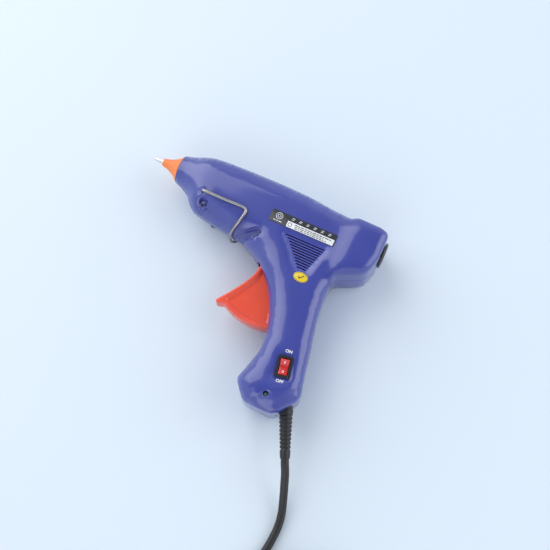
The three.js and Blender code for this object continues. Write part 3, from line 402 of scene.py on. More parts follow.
def tube(path: np.ndarray, radius: float | Sequence[float], sides: int = 16) -> tuple[np.ndarray, list[list[int]]]:
    """Sweeps a circle along a path, with closed ends.

    Args:
        path: points of the centreline.
        radius: the radius, or one for each point.
        sides: vertices round it.

    Returns:
        Vertices and faces.
    """
    count = len(path)
    radii = np.broadcast_to(np.asarray(radius, float), (count,))
    tangents = unit(np.gradient(path, axis=0))
    side = np.cross(tangents[0], [0.0, 0.0, 1.0])
    if np.linalg.norm(side) < 0.1:
        side = np.cross(tangents[0], [0.0, 1.0, 0.0])
    angles = full_turn(sides)
    rings = []
    for point, tangent, size in zip(path, tangents, radii, strict=True):
        side = side - tangent * (side @ tangent)
        side /= np.linalg.norm(side)
        up = np.cross(tangent, side)
        rings.append(point + size * (np.outer(np.cos(angles), side) + np.outer(np.sin(angles), up)))
    faces = []
    for i in range(count - 1):
        faces += quads_between(i * sides, (i + 1) * sides, sides)
    faces.append(list(range(sides))[::-1])
    faces.append([(count - 1) * sides + j for j in range(sides)])
    return np.vstack(rings), faces


def turned(profile: Points, sides: int = 96, closed: bool = True) -> tuple[np.ndarray, list[list[int]]]:
    """Turns a profile of (x, radius) about the X axis.

    Args:
        profile: the profile's corners, in order.
        sides: vertices round the axis.
        closed: whether the profile closes on itself.

    Returns:
        Vertices and faces.
    """
    points = [(x, r * math.cos(a), r * math.sin(a)) for x, r in profile for a in full_turn(sides)]
    faces = []
    rows = len(profile)
    for i in range(rows if closed else rows - 1):
        faces += quads_between(i * sides, ((i + 1) % rows) * sides, sides)
    return np.array(points), faces


def slab(outline: np.ndarray, low: float, high: float) -> tuple[np.ndarray, list[list[int]]]:
    """Thickens a flat outline.

    Args:
        outline: its corners, anticlockwise.
        low: height of its lower face.
        high: height of its upper face.

    Returns:
        Vertices and faces.
    """
    count = len(outline)
    points = np.vstack([np.column_stack([outline, np.full(count, z)]) for z in (low, high)])
    faces = quads_between(0, count, count)
    faces.append(list(range(count))[::-1])
    faces.append(list(range(count, 2 * count)))
    return points, faces


def rounded_box(width: float, length: float, radius: float, steps: int = 6) -> np.ndarray:
    """The outline of a rectangle with round corners, about the origin.

    Args:
        width: its size along X.
        length: its size along Y.
        radius: of its corners.
        steps: facets in each corner.

    Returns:
        The outline, anticlockwise.
    """
    corners = ((1, 1, 0), (-1, 1, 90), (-1, -1, 180), (1, -1, 270))
    points = []
    for sx, sy, start in corners:
        for i in range(steps + 1):
            angle = math.radians(start + 90 * i / steps)
            points.append((
                sx * (width / 2 - radius) + radius * math.cos(angle),
                sy * (length / 2 - radius) + radius * math.sin(angle),
            ))
    return np.array(points)


def oval(width: float, length: float, steps: int = 48) -> np.ndarray:
    """An ellipse about the origin.

    Args:
        width: along X.
        length: along Y.
        steps: its corners.

    Returns:
        The outline, anticlockwise.
    """
    angles = full_turn(steps)
    return np.column_stack([width / 2 * np.cos(angles), length / 2 * np.sin(angles)])


def turn_flat(points: np.ndarray, degrees: float, centre: Sequence[float] = (0.0, 0.0)) -> np.ndarray:
    """Turns flat points about the origin and then moves them to a centre.

    Args:
        points: the points.
        degrees: the angle, anticlockwise.
        centre: where the origin goes.

    Returns:
        The moved points.
    """
    c, s = math.cos(math.radians(degrees)), math.sin(math.radians(degrees))
    return points @ np.array([[c, s], [-s, c]]) + np.asarray(centre, float)


def smoothstep(value: np.ndarray | float, low: float, high: float) -> np.ndarray:
    """Rises smoothly from 0 at low to 1 at high.

    Args:
        value: where to read it.
        low: where it starts to rise.
        high: where it is 1.

    Returns:
        The value of the step.
    """
    t = np.clip((np.asarray(value, float) - low) / (high - low), 0.0, 1.0)
    return t * t * (3 - 2 * t)


def segment_distance(points: np.ndarray, line: np.ndarray) -> np.ndarray:
    """Distance from points to the nearest part of an open polyline.

    Args:
        points: flat points.
        line: the polyline's corners.

    Returns:
        One distance for each point.
    """
    starts, ends = line[:-1], line[1:]
    span = ends - starts
    square = np.maximum((span**2).sum(1), 1e-12)
    nearest = np.full(len(points), np.inf)
    for i in range(0, len(points), 2000):
        part = points[i : i + 2000, None, :] - starts[None]
        t = np.clip((part * span[None]).sum(2) / square[None], 0.0, 1.0)
        gap = part - t[..., None] * span[None]
        nearest[i : i + 2000] = np.sqrt((gap**2).sum(2)).min(1)
    return nearest


def inside(points: np.ndarray, outline: np.ndarray) -> np.ndarray:
    """Whether points are inside a closed outline.

    Args:
        points: flat points.
        outline: its corners.

    Returns:
        One truth value for each point.
    """
    a, b = outline, np.roll(outline, -1, axis=0)
    x, y = points[:, :1], points[:, 1:]
    rising = (a[:, 1] > y) != (b[:, 1] > y)
    with np.errstate(divide="ignore", invalid="ignore"):
        cross = x < a[:, 0] + (y - a[:, 1]) * (b[:, 0] - a[:, 0]) / (b[:, 1] - a[:, 1])
    return (rising & cross).sum(1) % 2 == 1


def rows_beside(line: Points, offsets: Sequence[float], step: float) -> np.ndarray:
    """Points in rows round a short line, at even distances from it.

    Args:
        line: the line's corners.
        offsets: the rows' distances from the line.
        step: the distance between neighbours in a row.

    Returns:
        The points of all rows.
    """
    path = even_steps(np.asarray(line, float), step, closed=False)
    along = unit(np.gradient(path, axis=0))
    across = np.column_stack([-along[:, 1], along[:, 0]])
    found = []
    for offset in offsets:
        if offset == 0:
            found.append(path)
            continue
        found += [path + offset * across, path - offset * across]
        turns = max(4, round(math.pi * offset / step))
        for end, heading in ((path[0], -along[0]), (path[-1], along[-1])):
            start = math.atan2(heading[1], heading[0])
            angles = start + np.linspace(-math.pi / 2, math.pi / 2, turns + 1)[1:-1]
            found.append(end + offset * np.column_stack([np.cos(angles), np.sin(angles)]))
    return np.vstack(found)


def inward_normals(outline: np.ndarray) -> np.ndarray:
    """Unit normals of an anticlockwise outline, pointing inwards.

    Args:
        outline: its corners.

    Returns:
        One normal for each corner.
    """
    along = unit(np.roll(outline, -1, axis=0) - np.roll(outline, 1, axis=0))
    return np.column_stack([-along[:, 1], along[:, 0]])


def read_all(items: bpy.types.bpy_prop_collection, name: str, kind: type, width: int = 1) -> np.ndarray:
    """Reads one property of every item of a mesh.

    Args:
        items: its vertices, edges, loops or polygons.
        name: the property's name.
        kind: the type of its numbers.
        width: numbers for each item.

    Returns:
        The numbers, in rows when there are several for each item.
    """
    found = np.empty(len(items) * width, kind)
    items.foreach_get(name, found)
    return found.reshape(-1, width) if width > 1 else found


def shade_evenly(piece: bpy.types.Object, skin: int, passes: int = 12, steep: float = 0.35,
                 pull: float = 0.6) -> bpy.types.Object:
    """Gives a moulded skin even shading, so that a highlight runs over it without steps.

    Args:
        piece: the mesh object, whose outer skin comes first.
        skin: how many of its first vertices lie on the skin's face.
        passes: how often each normal is averaged with its neighbours'.
        steep: how upright a facet has to be for its sharp edges to stay sharp.
        pull: the neighbours' share in each average.

    Returns:
        The same object.
    """
    data = piece.data
    count = len(data.vertices)
    normals = read_all(data.vertex_normals, "vector", float, 3)
    ends = read_all(data.edges, "vertices", int, 2)
    near = ends[(ends < skin).all(1)]
    both = np.vstack([near, near[:, ::-1]])
    degree = np.bincount(both[:, 0], minlength=count).clip(1)[:, None]
    corners = read_all(data.loops, "vertex_index", int)
    upright = np.abs(read_all(data.polygons, "normal", float, 3)[:, 2])
    flattest = np.ones(count)
    np.minimum.at(flattest, corners, np.repeat(upright, read_all(data.polygons, "loop_total", int)))
    fixed = np.zeros(count, bool)
    fixed[ends[read_all(data.edges, "use_edge_sharp", bool)].ravel()] = True
    fixed &= flattest < steep
    fixed[skin:] = True
    for _ in range(passes):
        mean = np.column_stack([np.bincount(both[:, 0], normals[both[:, 1], i], count) for i in range(3)]) / degree
        normals = unit(np.where(fixed[:, None], normals, (1 - pull) * normals + pull * mean))
    split = read_all(data.corner_normals, "vector", float, 3)
    data.normals_split_custom_set(np.where(fixed[corners][:, None], split, normals[corners]).tolist())
    return piece


@dataclass
class Relief:
    """A moulded face: a flat outline with openings, triangulated finely and raised to a height."""

    outline: np.ndarray
    rounding: Callable[[np.ndarray], np.ndarray]
    height: Callable[[np.ndarray, np.ndarray], np.ndarray]
    edge: np.ndarray
    openings: list[np.ndarray] = field(default_factory=list)
    details: np.ndarray = field(default_factory=lambda: np.empty((0, 2)))
    hollows: Callable[[np.ndarray, np.ndarray], np.ndarray] | None = None
    pitch: float = 1.7
    rings: int = 9
    ease: int = 5
    points: np.ndarray = field(init=False)
    heights: np.ndarray = field(init=False)
    faces: np.ndarray = field(init=False)

    def __post_init__(self) -> None:
        """Lays out the points, joins them into triangles and raises them."""
        details = self.details[inside(self.details, self.outline) & self._clear_of_openings(self.details, 0.4)]
        flat = np.vstack([self.outline, *self.openings, details])
        rings = self._ring_points()
        flat = np.vstack([flat, rings[self._apart(rings, details, 0.45)]])
        flat = np.vstack([flat, self._field_points(flat)])
        loops = []
        start = 0
        for loop in [self.outline, *self.openings]:
            loops += [(start + i, start + (i + 1) % len(loop)) for i in range(len(loop))]
            start += len(loop)
        made = delaunay_2d_cdt([Vector(p) for p in flat], loops, [], 0, 1e-5)
        self.points = np.array([(v.x, v.y) for v in made[0]])
        triangles = np.array([f for f in made[2] if len(f) == 3])
        centres = self.points[triangles].mean(1)
        keep = inside(centres, self.outline)
        for opening in self.openings:
            keep &= ~inside(centres, opening)
        corner = self.points[triangles[:, 1]] - self.points[triangles[:, 0]]
        other = self.points[triangles[:, 2]] - self.points[triangles[:, 0]]
        area = corner[:, 0] * other[:, 1] - corner[:, 1] * other[:, 0]
        triangles[area < 0] = triangles[area < 0][:, ::-1]
        self.faces = triangles[keep & (np.abs(area) > 1e-7)]
        depth = segment_distance(self.points, self.edge)
        self.heights = self._eased(self.height(self.points, depth), depth)
        if self.hollows:
            self.heights = self.heights - self.hollows(self.points, depth)

    def _apart(self, points: np.ndarray, taken: np.ndarray, room: float) -> np.ndarray:
        """Whether points keep away from others.

        Args:
            points: the points to judge.
            taken: the others.
            room: the least distance.

        Returns:
            One truth value for each point.
        """
        used = {(round(x / room), round(y / room)) for x, y in taken}
        return np.array([
            not any((round(x / room) + i, round(y / room) + j) in used for i in (-1, 0, 1) for j in (-1, 0, 1))
            for x, y in points
        ], bool)

    def _ring_points(self) -> np.ndarray:
        """Points at even angles round the rounded edge.

        Returns:
            The points of all the rings.
        """
        normals = inward_normals(self.outline)
        radius = self.rounding(self.outline)
        found = []
        for k in range(1, self.rings + 1):
            step = radius * (1 - math.cos(math.radians(90.0 * k / self.rings)))
            ring = self.outline + normals * step[:, None]
            keep = inside(ring, self.outline) & (segment_distance(ring, self.edge) > 0.97 * step)
            chosen = ring[keep]
            stride = 1 if k < self.rings - 2 else 2
            found.append(chosen[::stride])
        ring = np.vstack(found)
        return ring[self._clear_of_openings(ring, 0.5)]

    def _clear_of_openings(self, points: np.ndarray, room: float) -> np.ndarray:
        """Whether points are outside every opening, by some room.

        Args:
            points: flat points.
            room: the least distance.

        Returns:
            One truth value for each point.
        """
        keep = np.ones(len(points), bool)
        for opening in self.openings if len(points) else []:
            keep &= ~inside(points, opening) & (segment_distance(points, closed_line(opening)) > room)
        return keep

    def _field_points(self, taken: np.ndarray) -> np.ndarray:
        """A staggered grid where there is room between the points so far.

        Args:
            taken: the points so far.

        Returns:
            The new points.
        """
        low, high = self.outline.min(0), self.outline.max(0)
        rows = np.arange(low[1], high[1], self.pitch * 0.866)
        grid = np.array([
            (x + (self.pitch / 2 if j % 2 else 0.0), y)
            for j, y in enumerate(rows)
            for x in np.arange(low[0], high[0], self.pitch)
        ])
        grid = grid[self._apart(grid, taken, 0.55 * self.pitch)]
        keep = inside(grid, self.outline) & (segment_distance(grid, closed_line(self.outline)) > 0.8)
        return grid[keep & self._clear_of_openings(grid, 0.6)]

    def _eased(self, heights: np.ndarray, depth: np.ndarray) -> np.ndarray:
        """Softens the creases where the rounding of two edges meets.

        Args:
            heights: the exact heights.
            depth: distance of each point from the edge.

        Returns:
            The softened heights.
        """
        pairs = edge_pairs(self.faces)
        fixed = len(self.outline) + sum(len(loop) for loop in self.openings)
        weight = smoothstep(depth, 0.8, 3.0) * 0.6
        weight[:fixed] = 0.0
        count = np.bincount(pairs[:, 0], minlength=len(heights)).clip(1)
        for _ in range(self.ease):
            mean = np.bincount(pairs[:, 0], heights[pairs[:, 1]], len(heights)) / count
            heights = heights + weight * (mean - heights)
        return heights

    def skin(self, foot: Callable[[np.ndarray], np.ndarray], lip: float = 0.25,
             rows: int = 3) -> tuple[np.ndarray, np.ndarray]:
        """The raised face with a wall down from its outline.

        Args:
            foot: height of the wall's foot at each outline corner.
            lip: how far the foot is rounded inwards.
            rows: rows of faces down the wall.

        Returns:
            Vertices and triangles.
        """
        points, faces = [np.column_stack([self.points, self.heights])], [self.faces]
        count = len(self.outline)
        top = self.heights[:count]
        low = np.minimum(foot(self.outline), top - 0.05)
        steps = [(i / rows) * (1 - lip / np.maximum(top - low, 2 * lip)) for i in range(1, rows + 1)]
        layers = [(self.outline, top + s * (low - top)) for s in steps]
        layers.append((self.outline + inward_normals(self.outline) * lip, low))
        above = np.arange(count)
        start = len(self.points)
        for flat, z in layers:
            below = start + np.arange(count)
            points.append(np.column_stack([flat, z]))
            a, b = above, np.roll(above, -1)
            c, d = np.roll(below, -1), below
            faces += [np.column_stack([a, d, c]), np.column_stack([a, c, b])]
            above = below
            start += count
        return np.vstack(points), np.vstack(faces)


def thicken(points: np.ndarray, faces: np.ndarray, wall: float) -> tuple[np.ndarray, np.ndarray]:
    """Gives an open skin a wall, with rims round its edges.

    Args:
        points: vertices of the outer skin.
        faces: its triangles, facing out.
        wall: the thickness.

    Returns:
        Vertices and triangles of a closed body.
    """
    a, b, c = (points[faces[:, i]] for i in range(3))
    flat = np.cross(b - a, c - a)
    normals = np.zeros_like(points)
    for i in range(3):
        np.add.at(normals, faces[:, i], flat)
    inner = points - wall * unit(normals)
    count = len(points)
    known = {(int(i), int(j)) for i, j in edge_pairs(faces)}
    open_edges = np.array([(i, j) for i, j in known if (j, i) not in known])
    open_edges = open_edges[np.lexsort((open_edges[:, 1], open_edges[:, 0]))]
    i, j = open_edges[:, 0], open_edges[:, 1]
    rim = np.vstack([np.column_stack([j, i, i + count]), np.column_stack([j, i + count, j + count])])
    return np.vstack([points, inner]), np.vstack([faces, faces[:, ::-1] + count, rim])


def mirrored(points: np.ndarray, faces: np.ndarray) -> tuple[np.ndarray, np.ndarray]:
    """Mirrors a body in the parting plane.

    Args:
        points: its vertices.
        faces: its triangles.

    Returns:
        Vertices and triangles, facing out again.
    """
    return points * np.array([1.0, 1.0, -1.0]), faces[:, ::-1]


def two_sided(drawing: Drawing, name: str, relief: Relief, rows: int, middle: float = 0.0) -> bpy.types.Object:
    """A moulding with the same relief on both sides.

    Args:
        drawing: where it is drawn.
        name: its name.
        relief: its upper face.
        rows: rows of faces down each half of its edge.
        middle: height of its middle plane.

    Returns:
        The mesh object.
    """
    points, faces = relief.skin(lambda p: np.zeros(len(p)), lip=0.0, rows=rows)
    under = mirrored(points, faces)
    both = np.vstack([points, under[0]]) + np.array([0.0, 0.0, middle])
    return weld(drawing.mesh(name, both, np.vstack([faces, under[1] + len(points)])), 0.004)


def printed_text(name: str, words: str, size: float) -> tuple[np.ndarray, list[list[int]]]:
    """Flat lettering about the origin.

    Args:
        name: a name for the passing object.
        words: what it says.
        size: height of the letters in millimetres.

    Returns:
        Vertices and faces in millimetres.
    """
    curve = bpy.data.curves.new(name, "FONT")
    curve.body = words
    curve.size = size * 1.35
    curve.align_x = "CENTER"
    curve.align_y = "CENTER"
    curve.offset = 0.04 * size
    curve.resolution_u = 4
    holder = linked(name, curve)
    made = evaluated_mesh(holder)
    points = np.array([v.co for v in made.vertices])
    faces = [list(f.vertices) for f in made.polygons]
    bpy.data.objects.remove(holder)
    bpy.data.curves.remove(curve)
    bpy.data.meshes.remove(made)
    return points, faces


# ---- finishes -----------------------------------------------------------------------------------------------


SCATTER_DEPTH = 0.002
# Gain and lift of the colour that paints a highlight along sharp edges.
PAINTED_HIGHLIGHT_LIFT = (1.5, 0.08)
BROAD_SHARE = 0.75


def add_node(tree: bpy.types.NodeTree, kind: str, **values: float | tuple[float, ...]) -> bpy.types.Node:
    """Adds a shader node.

    Args:
        tree: the nodes it joins.
        kind: its type, without the common first part.
        **values: values of its inputs, with _ for a space in an input's name.

    Returns:
        The node.
    """
    made = tree.nodes.new(f"ShaderNode{kind}")
    for socket, value in values.items():
        made.inputs[socket.replace("_", " ")].default_value = value
    return made


def joined(tree: bpy.types.NodeTree, source: bpy.types.NodeSocket, node: bpy.types.Node,
           socket: str | int) -> bpy.types.Node:
    """Links a socket to an input of a node.

    Args:
        tree: the nodes.
        source: the socket that gives the value.
        node: the node that takes it.
        socket: which of its inputs.

    Returns:
        The node that takes the value.
    """
    tree.links.new(source, node.inputs[socket])
    return node


@dataclass(frozen=True)
class Finish:
    """A surface: its shader values, and how its colour, roughness and relief vary."""

    name: str
    colour: tuple[float, float, float]
    roughness: float = 0.4
    metallic: float = 0.0
    coat: float = 0.0
    coat_roughness: float = 0.08
    shift: float = 0.08
    patch: float = 60.0
    grain: float = 900.0
    bump: float = 0.05
    bump_depth: float = 0.00003
    rough_spread: float = 0.06
    # How strongly sharp convex edges are lightened: a painted highlight, not wear.
    painted_edge_highlight: float = 0.0
    sheen: float = 0.0
    transmission: float = 0.0
    subsurface: float = 0.0
    brushed: tuple[float, float, float] | None = None

    def material(self) -> bpy.types.Material:
        """The finish as a node material, made once.

        Returns:
            The material.
        """
        made = bpy.data.materials.get(self.name)
        if made:
            return made
        made = bpy.data.materials.new(self.name)
        made.use_nodes = True
        tree = made.node_tree
        shader = tree.nodes["Principled BSDF"]
        for socket, value in (("Metallic", self.metallic), ("Coat Weight", self.coat),
                              ("Coat Roughness", self.coat_roughness), ("Sheen Weight", self.sheen),
                              ("Transmission Weight", self.transmission), ("Subsurface Weight", self.subsurface),
                              ("Subsurface Scale", SCATTER_DEPTH)):
            shader.inputs[socket].default_value = value
        place = source = add_node(tree, "TexCoord").outputs["Object"]
        if self.brushed:
            source = joined(tree, place, add_node(tree, "Mapping", Scale=self.brushed), "Vector").outputs["Vector"]
        cloud = joined(tree, place, add_node(tree, "TexNoise", Scale=self.patch, Detail=4.0), "Vector").outputs["Fac"]
        fine = joined(tree, source, add_node(tree, "TexNoise", Scale=self.grain, Detail=3.0), "Vector").outputs["Fac"]
        joined(tree, self._colour(tree, cloud, fine), shader, "Base Color")
        rough = add_node(tree, "MapRange", To_Min=max(0.02, self.roughness - self.rough_spread),
                         To_Max=min(1.0, self.roughness + self.rough_spread))
        joined(tree, joined(tree, cloud, rough, "Value").outputs["Result"], shader, "Roughness")
        bump = add_node(tree, "Bump", Strength=self.bump, Distance=self.bump_depth)
        joined(tree, joined(tree, fine, bump, "Height").outputs["Normal"], shader, "Normal")
        return made

    def _colour(self, tree: bpy.types.NodeTree, cloud: bpy.types.NodeSocket,
                fine: bpy.types.NodeSocket) -> bpy.types.NodeSocket:
        """Varies the colour in soft patches and lightens sharp convex edges as a painted highlight.

        Args:
            tree: the material's nodes.
            cloud: the broad noise.
            fine: the fine noise.

        Returns:
            The colour.
        """
        ramp = add_node(tree, "ValToRGB")
        for stop, position, factor in zip(ramp.color_ramp.elements, (0.3, 0.7), (1 - self.shift, 1 + self.shift),
                                          strict=True):
            stop.color = (*(min(1.0, c * factor) for c in self.colour), 1.0)
            stop.position = position
        broad = add_node(tree, "Math")
        broad.operation = "MULTIPLY"
        broad.inputs[1].default_value = BROAD_SHARE
        blend = add_node(tree, "Math")
        blend.operation = "MULTIPLY_ADD"
        blend.inputs[1].default_value = 1 - BROAD_SHARE
        joined(tree, fine, blend, 0)
        joined(tree, joined(tree, cloud, broad, 0).outputs[0], blend, 2)
        colour = joined(tree, blend.outputs[0], ramp, "Fac").outputs["Color"]
        # Painted highlight: the colour is lightened along sharp convex edges, where highlights fall on the gloss.
        if self.painted_edge_highlight <= 0:
            return colour
        highlight_mix = add_node(tree, "Mix")
        highlight_mix.data_type = "RGBA"
        gain, lift = PAINTED_HIGHLIGHT_LIFT
        highlight_mix.inputs["B"].default_value = (*(min(1.0, c * gain + lift) for c in self.colour), 1.0)
        edge = add_node(tree, "MapRange", From_Min=0.52, From_Max=0.62, To_Max=self.painted_edge_highlight)
        joined(tree, add_node(tree, "NewGeometry").outputs["Pointiness"], edge, "Value")
        joined(tree, edge.outputs["Result"], highlight_mix, "Factor")
        return joined(tree, colour, highlight_mix, "A").outputs["Result"]


# Where a finish lightens its sharp edges, that lightening is a painted highlight.
BLUE_SHELL = Finish("shell_blue", (0.042, 0.055, 0.31), 0.32, coat=0.9, coat_roughness=0.09, shift=0.05,
                    grain=2200, bump=0.10, painted_edge_highlight=0.25, subsurface=0.04)
TRIGGER_RED = Finish("trigger_red", (0.86, 0.082, 0.035), 0.32, coat=0.35, shift=0.05, grain=2000, bump=0.1,
                     painted_edge_highlight=0.2, subsurface=0.08)
BOOT_ORANGE = Finish("boot_orange", (0.90, 0.23, 0.055), 0.48, coat=0.1, shift=0.08, grain=1500, bump=0.18,
                     subsurface=0.12)
ROCKER_RED = Finish("rocker_red", (0.62, 0.018, 0.02), 0.2, coat=0.6, shift=0.06, grain=2600, bump=0.06,
                    subsurface=0.05)
WIRE_STEEL = Finish("wire_steel", (0.40, 0.385, 0.37), 0.27, metallic=1.0, shift=0.15, grain=1500, bump=0.08)
SCREW_STEEL = Finish("screw_steel", (0.55, 0.55, 0.56), 0.32, metallic=1.0, shift=0.15, grain=1800, bump=0.2)
NOZZLE_NICKEL = Finish("nozzle_nickel", (0.72, 0.70, 0.66), 0.24, metallic=1.0, shift=0.1, grain=900, bump=0.2,
                       brushed=(6.0, 0.4, 0.4), painted_edge_highlight=0.3)
CAST_METAL = Finish("cast_metal", (0.50, 0.51, 0.53), 0.55, metallic=1.0, shift=0.12, grain=1400, bump=0.5)
SHEET_BRASS = Finish("sheet_brass", (0.62, 0.44, 0.17), 0.3, metallic=1.0, shift=0.12, grain=900, bump=0.2)
MICA_FLAKE = Finish("mica_flake", (0.50, 0.38, 0.24), 0.45, shift=0.25, grain=500, bump=0.4)
CERAMIC_GREY = Finish("ceramic_grey", (0.10, 0.10, 0.11), 0.75, shift=0.15, grain=2400, bump=0.5)
PHENOLIC_BROWN = Finish("phenolic_brown", (0.10, 0.045, 0.025), 0.5, shift=0.25, grain=1600, bump=0.4)
SLEEVE_RED = Finish("sleeve_red", (0.42, 0.045, 0.03), 0.55, shift=0.1, grain=1500, bump=0.2, subsurface=0.08)
NYLON_WHITE = Finish("nylon_white", (0.72, 0.70, 0.65), 0.45, shift=0.04, grain=1600, bump=0.12, subsurface=0.1)
SWITCH_BLACK = Finish("switch_black", (0.012, 0.012, 0.014), 0.3, coat=0.2, shift=0.2, grain=2600, bump=0.12,
                      painted_edge_highlight=0.12)
LEAD_BLACK = Finish("lead_black", (0.014, 0.014, 0.015), 0.46, shift=0.25, grain=1300, bump=0.2, sheen=0.05)
PLUG_BLACK = Finish("plug_black", (0.015, 0.015, 0.017), 0.42, shift=0.2, grain=2400, bump=0.35, painted_edge_highlight=0.1)
LENS_GREEN = Finish("lens_green", (0.015, 0.10, 0.05), 0.12, coat=0.6, shift=0.1, transmission=0.35, bump=0.02)
BOARD_GREEN = Finish("board_green", (0.02, 0.16, 0.05), 0.4, shift=0.15, grain=1200, bump=0.3)
LABEL_DARK = Finish("label_dark", (0.022, 0.023, 0.03), 0.34, coat=0.35, shift=0.12, grain=1700, bump=0.05)
LABEL_WHITE = Finish("label_white", (0.78, 0.79, 0.80), 0.42, coat=0.25, shift=0.03, grain=1700, bump=0.05)
STICKER_YELLOW = Finish("sticker_yellow", (0.82, 0.58, 0.025), 0.35, coat=0.4, shift=0.05, grain=1500, bump=0.05)
PRINT_WHITE = Finish("print_white", (0.80, 0.81, 0.84), 0.5, shift=0.06, grain=2500, bump=0.1)
PRINT_DARK = Finish("print_dark", (0.03, 0.03, 0.035), 0.5, shift=0.15, grain=2500, bump=0.1)


@dataclass(frozen=True)
class Dresser:
    """Finishes pieces, puts them on their bodies and reports them."""

    def dress(self, piece: bpy.types.Object, finish: Finish, body: Body, slot: Slot,
              replaces: Sequence[str] = ()) -> bpy.types.Object:
        """Finishes one new piece.

        Args:
            piece: the new object.
            finish: its surface.
            body: the body it moves with.
            slot: the material slot it belongs to; not used.
            replaces: the nodes it stands for.

        Returns:
            The same object.
        """
        piece.data.materials.clear()
        piece.data.materials.append(finish.material())
        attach(piece, body.value)
        if replaces:
            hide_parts(*replaces)
        LOG.info("%s rides on %s in %s", piece.name, body.value, finish.name)
        return piece

    def refinish(self, piece: bpy.types.Object, finish: Finish) -> None:
        """Gives a node of the frame its finish.

        Args:
            piece: the node.
            finish: its surface.
        """
        if not piece.material_slots:
            piece.data.materials.append(finish.material())
        for holder in piece.material_slots:
            holder.material = finish.material()
        LOG.info("%s is finished in %s", piece.name, finish.name)


@dataclass
class Assembly:
    """A sub-assembly, whose pieces are made on the drawing and dressed."""

    drawing: Drawing
    dresser: Dresser

    def add(self, name: str, shape: Shape, sharp: float, finish: Finish, body: Body, slot: Slot,
            nodes: Sequence[str] = ()) -> bpy.types.Object:
        """Makes a piece, shades it smooth and dresses it.

        Args:
            name: its name.
            shape: its vertices and faces.
            sharp: the angle in degrees above which an edge stays sharp.
            finish: its surface.
            body: the body it moves with.
            slot: its material slot.
            nodes: the nodes it stands for.

        Returns:
            The piece.
        """
        return self.dresser.dress(smooth(self.drawing.mesh(name, *shape), sharp), finish, body, slot, nodes)


# ---- casing -------------------------------------------------------------------------------------------------


@dataclass
class OutlinePen:
    """Draws an outline from lines, round corners and curves."""

    points: list[np.ndarray] = field(default_factory=list)

    def line_to(self, x: float, y: float) -> None:
        """Draws a straight line.

        Args:
            x: its end's X.
            y: its end's Y.
        """
        self.points.append(np.array([x, y], float))

    def corner_to(self, cx: float, cy: float, x: float, y: float, steps: int = 10) -> None:
        """Draws a round corner towards a control point and on to an end.

        Args:
            cx: control point's X.
            cy: control point's Y.
            x: end's X.
            y: end's Y.
            steps: facets.
        """
        start, control, end = self.points[-1], np.array([cx, cy], float), np.array([x, y], float)
        for i in range(1, steps + 1):
            t = i / steps
            self.points.append((1 - t) ** 2 * start + 2 * t * (1 - t) * control + t * t * end)

    def curve_through(self, stations: Points) -> None:
        """Draws a smooth curve on through points.

        Args:
            stations: the points.
        """
        knots = np.vstack([self.points[-1], np.asarray(stations, float)])
        self.points += list(spline_through(knots, 12, power=0.0)[1:])


